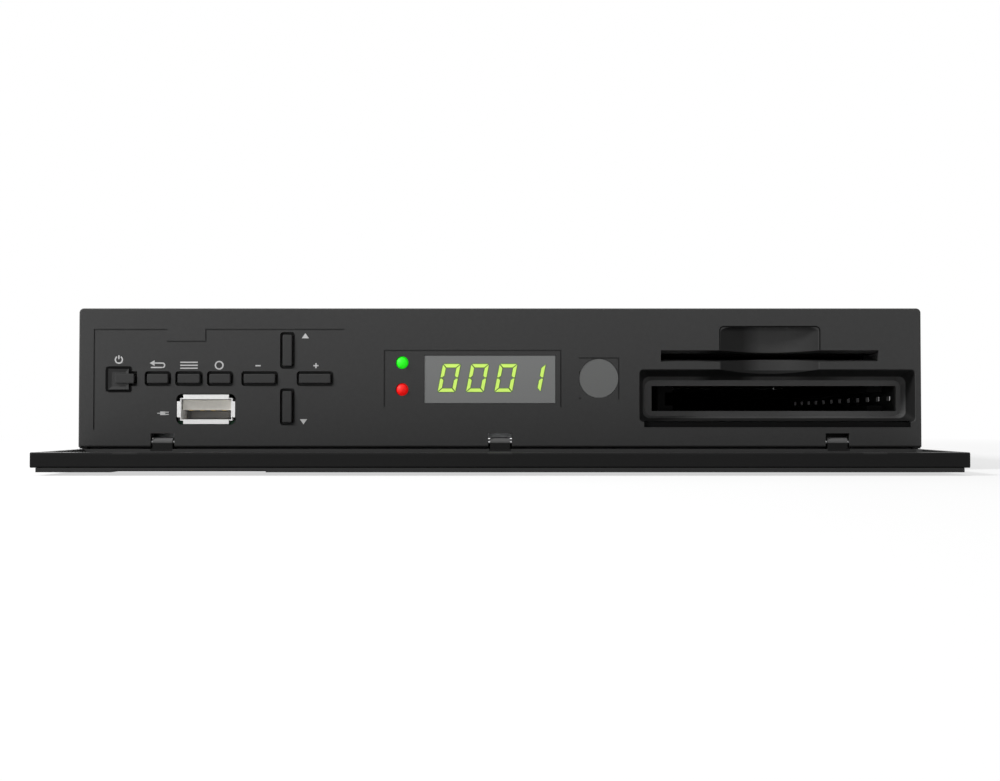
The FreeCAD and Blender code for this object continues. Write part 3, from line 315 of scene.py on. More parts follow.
def flap_plastic_and_painted_light(shader):
    """Satin black on the flap, with painted light as a paler grain along its hinge line,
    painted shade low on its arms and painted highlights on their tops.
    """
    grains = shader.noise(3000.0, 3.0, 0.6)
    patches = shader.noise(30.0, 3.0, 0.55)
    # Painted light: the strip along the hinge, behind the face, is paler where the lamps light it
    # from above
    painted_light_strip = shader.axis("Y").over(FACE_Y - 6.0 * MM)
    satin = shader.blend(patches, tone(0.0048), tone(0.0060))
    painted_light_grain = shader.blend(patches, tone(0.050), tone(0.058))
    height = shader.axis("Z") - SILL_Z
    arms = near_hinges(shader.axis("X"), 2.75)
    colour = shader.blend(painted_light_strip, satin, painted_light_grain)
    # Painted shade on the arms' lower part and painted highlights on their tops
    colour = shader.blend(arms * between(height, -0.9, 0.95, 0.1), colour, tone(0.014))
    colour = shader.blend(arms * between(height, 1.15, 4.0, 0.1), colour, tone(0.12))
    shader.set(Base_Color=colour,
               Roughness=(painted_light_strip * 0.15 + patches * 0.08 + 0.34),
               Normal=shader.bump(grains, 0.15, 0.00003), Specular_IOR_Level=0.10)


FINISHES = {
    "front_bezel": ("ABS grain front, painted light and shade", front_plastic_and_painted_light),
    # The port's back: a lighter grey as painted light, where the port's depth leaves it in shade
    "back grey": ("Port back grey, painted light", moulded(0.2, 0.6)),
    "flap_panel": ("ABS satin flap, painted light and shade", flap_plastic_and_painted_light),
    "flap_plate": ("ABS flap cover", moulded(0.023, 0.42)),
    "keys": ("ABS key", moulded(0.043, 0.46, 3200.0, 0.15)),
    "inner black": ("Nylon black", moulded(0.018, 0.5)),
    "deep black": ("Nylon guide black and painted shade", moulded(0.008, 0.8, gloss=0.02)),
    "port metal": ("Port plate, painted reflection", port_plate_painted_reflection),
    "top_cover": ("Powder paint black", painted(0.03, 0.55)),
    "chassis_tray": ("Zinc sheet", metal((0.58, 0.59, 0.60, 1), 0.42, (1, 12, 1))),
    "bright": ("Nickel plate", metal((0.86, 0.86, 0.85, 1), 0.22)),
    "steel": ("Steel screw", metal((0.52, 0.52, 0.53, 1), 0.32)),
    "black_steel": ("Black steel screw", metal((0.06, 0.06, 0.062, 1), 0.38)),
    "brass": ("Brass post", metal((0.72, 0.53, 0.22, 1), 0.3)),
    "gold": ("Gold flash", metal((0.83, 0.62, 0.28, 1), 0.25)),
    "sink": ("Anodised sink", metal((0.16, 0.165, 0.17, 1), 0.45, (1, 20, 1))),
    "can": ("Aluminium can", metal((0.62, 0.63, 0.65, 1), 0.35)),
    "rubber": ("Foot rubber", dyed((0.018, 0.018, 0.018, 1), 0.85, 700.0)),
    "pale": ("Cream nylon", dyed((0.86, 0.83, 0.76, 1), 0.45)),
    "chip": ("Epoxy chip", dyed((0.022, 0.022, 0.024, 1), 0.6, 2600.0)),
    "board": ("Circuit board", circuit),
    "green": ("Green lamp", glowing((0.016, 0.855, 0.01, 1), 0.6, 0.6)),
    "red": ("Red lamp", glowing((0.753, 0.004, 0.003, 1), 0.6, 0.6)),
}

NODE_FINISH = {
    "front_bezel": "front_bezel", "flap_panel": "flap_panel", "flap_plate": "flap_plate",
    "hinge_pins": "steel", "tact_switches": "inner black", "key_board": "board",
    "key_board_screws": "steel", "display_module": "inner black", "remote_receiver": "inner black",
    "usb_shell": "port metal", "usb_tongue": "pale",
    "rubber_feet": "rubber", "chassis_tray": "chassis_tray", "top_cover": "top_cover",
    "cover_screws": "black_steel", "main_board": "board", "standoffs": "brass",
    "board_screws": "steel", "main_chip": "chip", "heat_sink": "sink", "memory_chips": "chip",
    "capacitors": "can", "power_coils": "chip", "tuner_can": "bright", "aerial_sockets": "bright",
    "aerial_insulators": "pale", "hdmi_port": "bright", "lan_port": "bright",
    "optical_port": "inner black", "sound_jack": "inner black", "power_inlet": "inner black",
    "module_cage": "deep black", "module_connector": "deep black", "card_reader": "deep black",
    "reader_ribbon": "pale", "ribbon_socket": "pale", "board_header": "inner black",
}


def finish_of(key):
    return material(*FINISHES[key])


def dress(node, made):
    """Give a CAD node one material all over."""
    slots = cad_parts[node].data.materials
    slots.clear()
    slots.append(made)


# Mesh building

def mesh_data(name, mesh):
    """Turn a bmesh into mesh data and free it."""
    data = bpy.data.meshes.new(name)
    mesh.to_mesh(data)
    mesh.free()
    return data


def add_object(name, data):
    made = bpy.data.objects.new(name, data)
    bpy.context.scene.collection.objects.link(made)
    return made


def new_piece(name, mesh, made, body="housing"):
    """Turn a bmesh into a finished piece that rides on a body."""
    data = mesh_data(name, mesh)
    data.materials.append(made)
    piece = add_object(name, data)
    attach(piece, body)
    return piece


def round_edges(mesh, edges, offset, segments=3):
    bmesh.ops.bevel(mesh, geom=edges, offset=offset, segments=segments, profile=0.5,
                    affect="EDGES", material=-1)


def add_block(mesh, low, high, bevel=0.0, segments=2):
    """Add a box between two corners, with its edges rounded."""
    made = bmesh.ops.create_cube(mesh, size=1.0)["verts"]
    size = Vector(high) - Vector(low)
    middle = (Vector(high) + Vector(low)) / 2
    bmesh.ops.scale(mesh, vec=size, verts=made)
    bmesh.ops.translate(mesh, vec=middle, verts=made)
    if bevel:
        edges = list({edge for vert in made for edge in vert.link_edges})
        round_edges(mesh, edges, bevel, segments)
    return made


def turn_outward(mesh):
    bmesh.ops.recalc_face_normals(mesh, faces=mesh.faces)


def add_prism(mesh, points, push):
    """Add a solid from the corners of one face and the way in which that face is pushed."""
    face = mesh.faces.new([mesh.verts.new(point) for point in points])
    grown = bmesh.ops.extrude_face_region(mesh, geom=[face])["geom"]
    moved = [item for item in grown if isinstance(item, bmesh.types.BMVert)]
    bmesh.ops.translate(mesh, vec=push, verts=moved)


def add_plate(mesh, points, depth):
    """Add a flat plate on the face from the corners of its outline."""
    add_prism(mesh, points, (0, -depth, 0))
    turn_outward(mesh)


def add_bar(mesh, start, end, width, depth):
    """Add a flat bar with pointed ends on the face between two points."""
    along = end - start
    side = Vector((-along.z, 0, along.x)).normalized() * width / 2
    tip = along.normalized() * width / 2
    add_plate(mesh, [start, start + tip + side, end - tip + side, end, end - tip - side,
                     start + tip - side], depth)


def add_ring(mesh, centre, radius, width, depth, start=0.0, sweep=360.0, steps=40):
    """Add a flat ring, or part of one, that stands on the face."""
    inner, outer = radius - width / 2, radius + width / 2
    whole = abs(sweep - 360.0) < 0.01
    angle = math.radians(start)
    out = Vector((math.cos(angle), 0, math.sin(angle)))
    spots = [centre + out * inner, centre + out * outer]
    spots += [spot + Vector((0, -depth, 0)) for spot in reversed(spots)]
    ring = [mesh.verts.new(spot) for spot in spots]
    face = mesh.faces.new(ring)
    geometry = list(face.edges) + list(face.verts)
    if not whole:
        geometry.append(face)
    bmesh.ops.spin(mesh, geom=geometry, cent=centre, axis=(0, -1, 0), dvec=(0, 0, 0),
                   angle=math.radians(sweep), steps=steps, use_merge=whole)
    if whole and face.is_valid:
        bmesh.ops.delete(mesh, geom=[face], context="FACES_ONLY")
    bmesh.ops.remove_doubles(mesh, verts=mesh.verts, dist=1e-7)
    turn_outward(mesh)


def add_turned(mesh, outline, centre, axis, steps=32):
    """Add a solid of revolution: outline holds (distance along the axis, radius) pairs."""
    axis = Vector(axis).normalized()
    side = axis.orthogonal().normalized()
    points = [Vector(centre) + axis * along + side * radius for along, radius in outline]
    verts = [mesh.verts.new(point) for point in points]
    edges = [mesh.edges.new(pair) for pair in zip(verts, verts[1:])]
    bmesh.ops.spin(mesh, geom=verts + edges, cent=centre, axis=axis, dvec=(0, 0, 0),
                   angle=math.tau, steps=steps, use_merge=True)
    bmesh.ops.remove_doubles(mesh, verts=mesh.verts, dist=1e-7)
    turn_outward(mesh)


# Sizes and colours that a user would change

class ReceiverLook(bpy.types.PropertyGroup):
    digit_height: FloatProperty(
        name="Digit height", description="Height of a lit digit", default=7.0 * MM,
        unit="LENGTH", min=0.002, max=0.012)
    digit_slant: FloatProperty(
        name="Digit slant", description="How far the digits lean to the right",
        default=math.radians(11.0), subtype="ANGLE")
    stroke_width: FloatProperty(
        name="Stroke width", description="Width of a lit stroke", default=0.84 * MM, unit="LENGTH")
    digit_colour: FloatVectorProperty(
        name="Digit colour", description="Colour of the lit digits", subtype="COLOR",
        default=(0.55, 0.80, 0.13), min=0.0, max=1.0)
    mark_colour: FloatVectorProperty(
        name="Mark colour", description="Colour of the printed marks", subtype="COLOR",
        default=(0.58, 0.58, 0.58), min=0.0, max=1.0)
    window_colour: FloatVectorProperty(
        name="Window colour", description="Colour of the display window", subtype="COLOR",
        default=(0.148, 0.153, 0.151), min=0.0, max=1.0)
    floor_colour: FloatVectorProperty(
        name="Floor colour", description="Colour of the studio floor", subtype="COLOR",
        default=(0.90, 0.90, 0.90), min=0.0, max=1.0)
    lamp_power: FloatProperty(
        name="Lamp power", description="Power of the main studio lamp in watts", default=10.0,
        min=0.0)


def look():
    return bpy.context.scene.receiver_look


def solid(colour):
    return tuple(colour) + (1.0,)


# Pieces

class RECEIVER_OT_finishes(bpy.types.Operator):
    """Give every modelled part its plastic, metal or board finish"""
    bl_idname = "receiver.finishes"
    bl_label = "Part finishes"

    def execute(self, context):
        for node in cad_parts:
            if node in KEY_NODES:
                dress(node, finish_of("keys"))
            elif node in NODE_FINISH:
                dress(node, finish_of(NODE_FINISH[node]))
        colour = solid(look().window_colour)
        dress("display_window", material("Smoked window", smoked(colour)))
        dress("remote_window", material("Remote window", smoked((0.086, 0.089, 0.087, 1.0))))
        return {"FINISHED"}


def smoked(colour):
    """Translucent smoked acrylic: even colour, faint depth and a clear gloss."""
    def build(shader):
        depth = shader.noise(60.0, 2.0, 0.5)
        shader.set(Base_Color=shader.blend(depth, dimmed(colour, 0.94), colour),
                   Roughness=(depth * 0.08 + 0.30), Coat_Weight=0.25, Coat_Roughness=0.12)
    return build


class RECEIVER_OT_lamps(bpy.types.Operator):
    """Turn the two round lamps with domed lenses"""
    bl_idname = "receiver.lamps"
    bl_label = "Lamps"

    def execute(self, context):
        radius, leg_length, leg_side, half_leg = 1.5 * MM, 5.0 * MM, 1.27 * MM, 0.25 * MM
        for node in ("green_lamp", "red_lamp"):
            low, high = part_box(node)
            colour = node.split("_")[0]
            centre = Vector(((low.x + high.x) / 2, low.y, (low.z + high.z) / 2))
            dome = [(radius * (1 - math.cos(step * math.pi / 16)),
                     radius * math.sin(step * math.pi / 16)) for step in range(9)]
            rim = high.y - low.y - leg_length
            outline = dome + [(rim - 1.0 * MM, radius), (rim - 0.9 * MM, radius * 1.25),
                              (rim, radius * 1.25), (rim, 0.0)]
            mesh = bmesh.new()
            add_turned(mesh, outline, centre, (0, 1, 0), 36)
            for side in (-leg_side, leg_side):
                add_block(mesh, centre + Vector((side - half_leg, rim, -half_leg)),
                          Vector((centre.x + side + half_leg, high.y, centre.z + half_leg)))
            lens = colour + "_lens"
            piece = new_piece(lens, mesh, finish_of(colour))
            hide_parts(node)
        return {"FINISHED"}


NUMERALS = {
    "0": ("top", "bottom", "upper_left", "upper_right", "lower_left", "lower_right"),
    "1": ("upper_right", "lower_right"),
}


def stroke_outline(name, wide, tall, thick, gap):
    """The corners of one mitred stroke of a digit, across and up from the digit's foot."""
    middle = tall / 2
    shapes = {
        "top": [(gap, tall), (wide - gap, tall), (wide - thick - gap, tall - thick),
                (thick + gap, tall - thick)],
        "upper_left": [(0, tall - gap), (0, middle + gap), (thick / 2, middle + gap),
                       (thick, middle + gap + thick / 2), (thick, tall - thick - gap)],
    }
    side, edge = name.split("_") if "_" in name else (name, "")
    if not edge:
        corners = shapes["top"]
        return corners if side == "top" else [(x, tall - z) for x, z in corners]
    corners = shapes["upper_left"]
    if side == "lower":
        corners = [(x, tall - z) for x, z in corners]
    if edge == "right":
        corners = [(wide - x, z) for x, z in corners]
    return corners


class RECEIVER_OT_digits(bpy.types.Operator):
    """Light the four digits behind the display window"""
    bl_idname = "receiver.digits"
    bl_label = "Lit digits"

    first_left: FloatProperty(name="First digit", description="Left edge of the first digit",
                              default=-15.7 * MM, unit="LENGTH")
    pitch: FloatProperty(name="Digit pitch", description="Distance from digit to digit",
                         default=7.15 * MM, unit="LENGTH")
    base: FloatProperty(name="Digit foot", description="Height of the digits' lower edge",
                        default=13.9 * MM, unit="LENGTH")

    def execute(self, context):
        sizes = look()
        lit = material("Lit digit", glowing(solid(sizes.digit_colour), 0.42, 0.5))
        edge = material("Digit edge", dyed((0.11, 0.22, 0.03, 1.0), 0.5))
        for name, made, spread, depth in (("lit_digits", lit, 0.0, 0.05 * MM),
                                          ("digit_edges", edge, 0.16 * MM, 0.03 * MM)):
            self.trace(name, made, spread, depth)
        return {"FINISHED"}

    def trace(self, name, made, spread, depth):
        """Draw every stroke, grown on all sides by a spread."""
        sizes = look()
        mesh = bmesh.new()
        window_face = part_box("display_window")[0].y
        wide, gap = 4.4 * MM, 0.18 * MM
        foot = SILL_Z + self.base
        for index, numeral in enumerate("0001"):
            left = self.first_left + index * self.pitch
            for stroke in NUMERALS[numeral]:
                outline = stroke_outline(stroke, wide, sizes.digit_height, sizes.stroke_width, gap)
                middle = [sum(places) / len(outline) for places in zip(*outline)]
                grown = [[place + math.copysign(spread, place - centre)
                          for place, centre in zip(corner, middle)] for corner in outline]
                add_plate(mesh, [Vector((left + x, window_face, foot + z)) for x, z in grown],
                          depth)
        lean = Matrix.Identity(4)
        lean[0][2] = math.tan(sizes.digit_slant)
        pivot = Vector((0, 0, foot))
        leaning = Matrix.Translation(pivot) @ lean @ Matrix.Translation(-pivot)
        bmesh.ops.transform(mesh, matrix=leaning, verts=mesh.verts)
        new_piece(name, mesh, made)


def add_arrow_mark(mesh, x, height, ink):
    """Add the turned-back arrow: a hooked line with a pointed head."""
    line = 0.32 * MM
    add_bar(mesh, on_face(x + 0.2, height - 0.55), on_face(x + 3.2, height - 0.55), line, ink)
    add_ring(mesh, on_face(x + 3.2, height), 0.55 * MM, line, ink, -90.0, 180.0, 14)
    add_bar(mesh, on_face(x + 1.0, height + 0.55), on_face(x + 3.3, height + 0.55), line, ink)
    add_plate(mesh, [on_face(x, height + 0.55), on_face(x + 1.2, height + 1.25),
                     on_face(x + 1.2, height - 0.15)], ink)


def add_power_mark(mesh, x, height, ink):
    """Add the power sign: an open ring with a bar through its gap."""
    line = 0.34 * MM
    add_ring(mesh, on_face(x, height), 0.88 * MM, line, ink, 122.0, 296.0, 30)
    add_bar(mesh, on_face(x, height + 0.05), on_face(x, height + 1.2), line, ink)


def add_plug_mark(mesh, x, height, ink):
    """Add the plain plug sign beside the front port."""
    add_block(mesh, on_face(x - 1.4, height - 0.45, ink / MM), on_face(x - 0.1, height + 0.45))
    for side in (0.28, -0.28):
        add_block(mesh, on_face(x - 0.2, height + side - 0.11, ink / MM),
                  on_face(x + 0.75, height + side + 0.11))
    add_block(mesh, on_face(x - 2.1, height - 0.11, ink / MM), on_face(x - 1.3, height + 0.11))


class RECEIVER_OT_marks(bpy.types.Operator):
    """Print the plain signs beside the keys"""
    bl_idname = "receiver.marks"
    bl_label = "Printed marks"

    def execute(self, context):
        proud = 0.03
        ink = proud * MM
        upper_line, lower_line = 20.6, 20.5
        minus_x, plus_x, half_bar, half_line = -61.0, -46.4, 0.65, 0.17
        mesh = bmesh.new()
        add_power_mark(mesh, -96.1, 22.0, ink)
        add_arrow_mark(mesh, -88.3, upper_line, ink)
        for step in (-0.75, 0.0, 0.75):
            add_block(mesh, on_face(-80.6, upper_line + step - 0.15, proud),
                      on_face(-76.2, upper_line + step + 0.15))
        add_ring(mesh, on_face(-70.8, upper_line), 0.95 * MM, 0.34 * MM, ink, steps=36)
        for x in (minus_x, plus_x):
            add_block(mesh, on_face(x - half_bar, lower_line - half_line, proud),
                      on_face(x + half_bar, lower_line + half_line))
        for side in (-1, 1):
            add_block(mesh, on_face(plus_x - half_line, lower_line + half_line * side, proud),
                      on_face(plus_x + half_line, lower_line + half_bar * side))
        add_plate(mesh, [on_face(-50.0, 27.4), on_face(-48.2, 27.4), on_face(-49.1, 28.7)], ink)
        add_plate(mesh, [on_face(-50.4, 7.0), on_face(-49.5, 5.7), on_face(-48.6, 7.0)], ink)
        add_plug_mark(mesh, -84.2, 8.5, ink)
        turn_outward(mesh)
        made = material("White print", dyed(solid(look().mark_colour), 0.55))
        new_piece("printed_marks", mesh, made)
        return {"FINISHED"}


def add_corner(mesh, x, z, way_x, way_z, radius, depth):
    """Add a filler that turns a hole's square corner into a round one."""
    centre = Vector((x + way_x * radius, FACE_Y, z + way_z * radius))
    arc = []
    for step in range(7):
        angle = step * math.pi / 12
        arc.append(centre + Vector((-way_x * radius * math.cos(angle), 0,
                                    -way_z * radius * math.sin(angle))))
    add_prism(mesh, [Vector((x, FACE_Y, z))] + arc, (0, depth, 0))


def round_hole(mesh, low, high, radius, depth):
    """Round the corners of a hole in the face between two places, each across and up."""
    for x, way_x in ((low[0], 1), (high[0], -1)):
        for z, way_z in ((low[1], 1), (high[1], -1)):
            add_corner(mesh, x, z, way_x, way_z, radius, depth)


def shape_cap(mesh, low, high, edge):
    """Add a key's cap: a block whose front corners and edges are rounded."""
    made = add_block(mesh, low, high)
    upright = list({item for vert in made for item in vert.link_edges
                    if abs(item.verts[0].co.y - item.verts[1].co.y) > 1e-6})
    round_edges(mesh, upright, edge)
    rim = [item for item in mesh.edges if all(abs(vert.co.y - low[1]) < 1e-7 for vert in item.verts)
           and low[0] - 1e-6 < item.verts[0].co.x < high[0] + 1e-6
           and low[2] - 1e-6 < item.verts[0].co.z < high[2] + 1e-6]
    round_edges(mesh, rim, edge * 0.6)


class RECEIVER_OT_keys(bpy.types.Operator):
    """Shape the eight keys with their dark gaps, and the cupped power key"""
    bl_idname = "receiver.keys"
    bl_label = "Keys"

    gap: FloatProperty(name="Key gap", description="Dark gap round each key", default=0.72 * MM,
                       unit="LENGTH")

    def execute(self, context):
        corners = bmesh.new()
        flange_over, front, cap_back = 0.25 * MM, FACE_Y - 0.45 * MM, FACE_Y + 2.6 * MM
        hole_radius, hole_depth, edge, half_stem = 0.85 * MM, 1.8 * MM, 0.3 * MM, 1.2 * MM
        for node in KEY_NODES:
            low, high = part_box(node)
            hole_low = (low.x + flange_over, low.z + flange_over)
            hole_high = (high.x - flange_over, high.z - flange_over)
            mesh = bmesh.new()
            if node == "power_key":
                self.shape_power_key(mesh, front, cap_back, edge)
            else:
                round_hole(corners, hole_low, hole_high, hole_radius, hole_depth)
                shape_cap(mesh, (hole_low[0] + self.gap, front, hole_low[1] + self.gap),
                          (hole_high[0] - self.gap, cap_back, hole_high[1] - self.gap), edge)
            add_block(mesh, (low.x, FACE_Y + 2.3 * MM, low.z), (high.x, FACE_Y + 3.3 * MM, high.z))
            middle = (low + high) / 2
            add_block(mesh, (middle.x - half_stem, FACE_Y + 3.1 * MM, middle.z - half_stem),
                      (middle.x + half_stem, high.y, middle.z + half_stem))
            turn_outward(mesh)
            piece = new_piece(node + "_cap", mesh, finish_of("keys"), node + "_body")
            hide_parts(node)
        turn_outward(corners)
        new_piece("key_hole_corners", corners, finish_of("front_bezel"))
        return {"FINISHED"}

    def shape_power_key(self, mesh, front, back, edge):
        """Add the square finger cup and the tab that runs out of it to the right."""
        cup = add_block(mesh, on_face(-98.7, 14.5, 0.25), on_face(-93.55, 19.7, -0.1))
        faces = {face for vert in cup for face in vert.link_faces}
        cap = [face for face in faces if face.normal.y < -0.9 or
               all(abs(vert.co.y - (FACE_Y - 0.25 * MM)) < 1e-7 for vert in face.verts)]
        bmesh.ops.inset_region(mesh, faces=cap[:1], thickness=1.1 * MM, depth=-0.3 * MM)
        shape_cap(mesh, (on_face(-97.0, 0).x, front, SILL_Z + 16.05 * MM),
                  (on_face(-92.15, 0).x, back, SILL_Z + 18.45 * MM), edge)


# Outlines of the painted shade round the power key and the finger scoop, across and up in mm
KEY_PAINTED_SHADE = ((-92.85, 15.3), (-92.85, 14.2), (-93.25, 13.8), (-98.5, 13.8), (-99.17, 14.08),
           (-99.45, 14.75), (-99.45, 19.4), (-99.17, 20.07), (-98.5, 20.35), (-93.25, 20.35),
           (-92.85, 19.95), (-92.85, 19.2), (-93.45, 19.2), (-93.45, 19.8), (-98.8, 19.8),
           (-98.8, 14.4), (-93.45, 14.4), (-93.45, 15.3))
SCOOP_PAINTED_SHADE = ((55.3, 24.45), (55.3, 29.6), (55.6, 30.25), (56.3, 30.55), (79.8, 30.55),
             (80.5, 30.25), (80.8, 29.6), (80.8, 24.45), (80.55, 24.45), (80.55, 29.5),
             (80.3, 30.0), (79.75, 30.2), (56.35, 30.2), (55.8, 30.0), (55.55, 29.5),
             (55.55, 24.45))


class RECEIVER_OT_front_details(bpy.types.Operator):
    """Fill the ends of the moulded lines, round the port's hole and paint shade into the deep gaps
    """
    bl_idname = "receiver.front_details"
    bl_label = "Front details"

    def execute(self, context):
        self.add_fills()
        self.add_shades()
        return {"FINISHED"}

    def add_fills(self):
        """Fill line ends, the port hole's corners and the front's two lower ends."""
        line, deep = 0.35, 0.3
        mesh = bmesh.new()
        low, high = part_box("display_window")
        eye_low, eye_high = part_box("remote_window")
        eye_x = (eye_low.x + eye_high.x) / 2 / MM
        eye_z = ((eye_low.z + eye_high.z) / 2 - SILL_Z) / MM
        left, right = low.x / MM + 1.5, high.x / MM - 1.5
        foot = (low.z - SILL_Z) / MM + 1.5
        fills = [((left - 10.25 + line, foot - 0.98), (right + 1.57 - line, foot - 0.98 + line)),
                 ((eye_x - 4.9, eye_z - 5.2), (eye_x - 4.9 + line, eye_z - 1.8)),
                 ((eye_x - 4.9, eye_z + 1.8), (eye_x - 4.9 + line, eye_z + 5.3 - line)),
                 ((eye_x - 4.9, eye_z - 5.2), (eye_x + 5.2 - line, eye_z - 5.2 + line)),
                 ((-83.95, 26.45 + line), (-83.6, 29.8))]
        for start, end in fills:
            add_block(mesh, on_face(start[0], start[1], 0.0), on_face(end[0], end[1], -deep))
        low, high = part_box("usb_shell")
        play = 0.2 * MM
        round_hole(mesh, (low.x - play, low.z - play), (high.x + play, high.z + play),
                   1.5 * MM, 0.9 * MM)
        for side in (-1, 1):
            for front, back, drop in ((1.0, 3.0, 0.4), (2.9, 4.6, 2.3)):
                add_block(mesh, (side * 104.3 * MM, FACE_Y + front * MM, SILL_Z - drop * MM),
                          (side * 106.2 * MM, FACE_Y + back * MM, SILL_Z + 0.05 * MM))
        turn_outward(mesh)
        new_piece("front_fills", mesh, finish_of("front_bezel"))

    def add_shades(self):
        """Lay painted shade: a black block in the trough below the funnel and black rings round the
        power key and the scoop.
        """
        shade = bmesh.new()
        add_block(shade, on_face(36.4, 5.0, -0.7), on_face(103.5, 6.2, -4.4))
        for outline, depth in ((KEY_PAINTED_SHADE, 0.06 * MM), (SCOOP_PAINTED_SHADE, 0.04 * MM)):
            add_plate(shade, [on_face(x, height) for x, height in outline], depth)
        turn_outward(shade)
        new_piece("gap_shades", shade, finish_of("deep black"))


class RECEIVER_OT_front_port(bpy.types.Operator):
    """Put the tongue, the back wall and the contacts into the front port"""
    bl_idname = "receiver.front_port"
    bl_label = "Front port contacts"

    def execute(self, context):
        low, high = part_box("usb_tongue")
        shell_low, shell_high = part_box("usb_shell")
        middle, level = (low.x + high.x) / 2, (shell_low.z + shell_high.z) / 2
        tongue = bmesh.new()
        add_block(tongue, (middle - 6.15 * MM, low.y, level - 0.2 * MM),
                  (middle + 6.15 * MM, high.y, level + 2.45 * MM), 0.15 * MM)
        piece = new_piece("usb_tongue_body", tongue, finish_of("pale"))
        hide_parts("usb_tongue")
        back = bmesh.new()
        add_block(back, (middle - 6.2 * MM, low.y + 5.0 * MM, level - 2.5 * MM),
                  (middle + 6.2 * MM, low.y + 6.0 * MM, level - 0.2 * MM))
        add_block(back, (middle - 5.0 * MM, low.y + 4.0 * MM, level - 2.4 * MM),
                  (middle + 5.0 * MM, low.y + 5.0 * MM, level - 0.4 * MM), 0.2 * MM)
        # Painted light: the port's back is grey, not black, where the port's depth leaves it in
        # shade
        new_piece("usb_back", back, finish_of("back grey"))
        mesh = bmesh.new()
        width = high.x - low.x
        for index in range(4):
            spot = low.x + width * (index + 0.5) / 4
            add_block(mesh, (spot - 0.55 * MM, low.y + 0.6 * MM, level - 0.30 * MM),
                      (spot + 0.55 * MM, low.y + 4.0 * MM, level - 0.19 * MM), 0.03 * MM, 1)
        new_piece("usb_contacts", mesh, finish_of("gold"))
        return {"FINISHED"}


def add_thread(mesh, mouth):
    """Add the thread of an aerial socket: a ridge wound round the barrel from its mouth inwards."""
    turns, steps_per_turn, pitch, barrel = 11, 28, 0.8 * MM, 4.74 * MM
    start = mouth - Vector((0, 0.5 * MM, 0))
    ridge = [(0.0, barrel), (0.18 * MM, barrel + 0.24 * MM), (0.36 * MM, barrel)]
    verts = [mesh.verts.new(start + Vector((radius, -along, 0))) for along, radius in ridge]
    face = mesh.faces.new(verts)
    bmesh.ops.spin(mesh, geom=[face] + list(face.edges) + verts, cent=start, axis=(0, 1, 0),
                   dvec=(0, -pitch / steps_per_turn, 0), angle=math.tau * turns,
                   steps=steps_per_turn * turns, use_merge=False)
    turn_outward(mesh)


def carve(mesh, tool):
    """Cut one closed mesh out of another and give back what is left."""
    holders = [add_object("carving", mesh_data("carving", part)) for part in (mesh, tool)]
    solid_part, cutter = holders
    change = solid_part.modifiers.new("carve", "BOOLEAN")
    change.operation = "DIFFERENCE"
    change.object = cutter
    change.solver = "EXACT"
    shaped = solid_part.evaluated_get(bpy.context.evaluated_depsgraph_get())
    left = bmesh.new()
    left.from_mesh(shaped.to_mesh())
    shaped.to_mesh_clear()
    for holder in holders:
        bpy.data.objects.remove(holder)
    if not left.faces:
        raise RuntimeError("nothing is left of the carved mesh")
    return left


def screw(radius, height, reach):
    """A pan head along +Z with a cross recess, on a shank that reaches down, as a bmesh."""
    head = bmesh.new()
    shaft = radius * 0.5
    crown = [(-reach, 0.0), (-reach, shaft * 0.6), (-reach + shaft * 0.6, shaft), (0.0, shaft),
             (0.0, radius * 0.96), (height * 0.35, radius), (height * 0.7, radius * 0.9),
             (height * 0.92, radius * 0.62), (height, radius * 0.3), (height, 0.0)]
    add_turned(head, crown, (0, 0, 0), (0, 0, 1), 32)
    cross = bmesh.new()
    wide, slim = radius * 0.56, radius * 0.13
    quarter = [(wide, -slim), (wide, slim), (slim, slim)]
    corners = []
    for turn in range(4):
        cosine, sine = round(math.cos(turn * math.pi / 2)), round(math.sin(turn * math.pi / 2))
        corners += [(x * cosine - y * sine, x * sine + y * cosine) for x, y in quarter]
    add_prism(cross, [(x, y, height * 0.45) for x, y in corners], (0, 0, height))
    turn_outward(cross)
    return carve(head, cross)


def add_screws(node, facing, made):
    """Put a cross-recessed screw in place of each solid of a node, facing out of its middle."""
    mesh = bmesh.new()
    for low, high in islands(node):
        middle, size = (low + high) / 2, high - low
        out = facing(middle)
        along = max(range(3), key=lambda axis: abs(out[axis]))
        radius = size[(along + 1) % 3] / 2
        height = radius * 0.52
        one = screw(radius, height, size[along] - height)
        turn = out.to_track_quat("Z", "Y").to_matrix().to_4x4()
        foot = middle + out * (size[along] / 2 - height)
        bmesh.ops.transform(one, matrix=Matrix.Translation(foot) @ turn, verts=one.verts)
        data = mesh_data("screw", one)
        mesh.from_mesh(data)
        bpy.data.meshes.remove(data)
    piece = new_piece(node + "_crossed", mesh, made)
    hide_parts(node)


def islands(node):
    """The boxes of a node's separate solids, from its own mesh."""
    source = bmesh.new()
    source.from_mesh(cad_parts[node].data)
    bmesh.ops.remove_doubles(source, verts=source.verts, dist=1e-6)
    left = set(source.verts)
    found = []
    while left:
        reach = [left.pop()]
        spots = []
        while reach:
            vert = reach.pop()
            spots.append(vert.co.copy())
            for edge in vert.link_edges:
                other = edge.other_vert(vert)
                if other in left:
                    left.remove(other)
                    reach.append(other)
        low = Vector(min(spot[axis] for spot in spots) for axis in range(3))
        high = Vector(max(spot[axis] for spot in spots) for axis in range(3))
        found.append((low, high))
    source.free()
    return sorted(found, key=lambda box: tuple(box[0]))


class RECEIVER_OT_screws(bpy.types.Operator):
    """Put cross-recessed screws in place of the plain cover, board and key board screws"""
    bl_idname = "receiver.screws"
    bl_label = "Screws"

    def execute(self, context):
        add_screws("cover_screws", lambda at: Vector((math.copysign(1.0, at.x), 0, 0)),
                   finish_of("black_steel"))
        add_screws("board_screws", lambda at: Vector((0, 0, 1)), finish_of("steel"))
        add_screws("key_board_screws", lambda at: Vector((0, 1, 0)), finish_of("steel"))
        return {"FINISHED"}


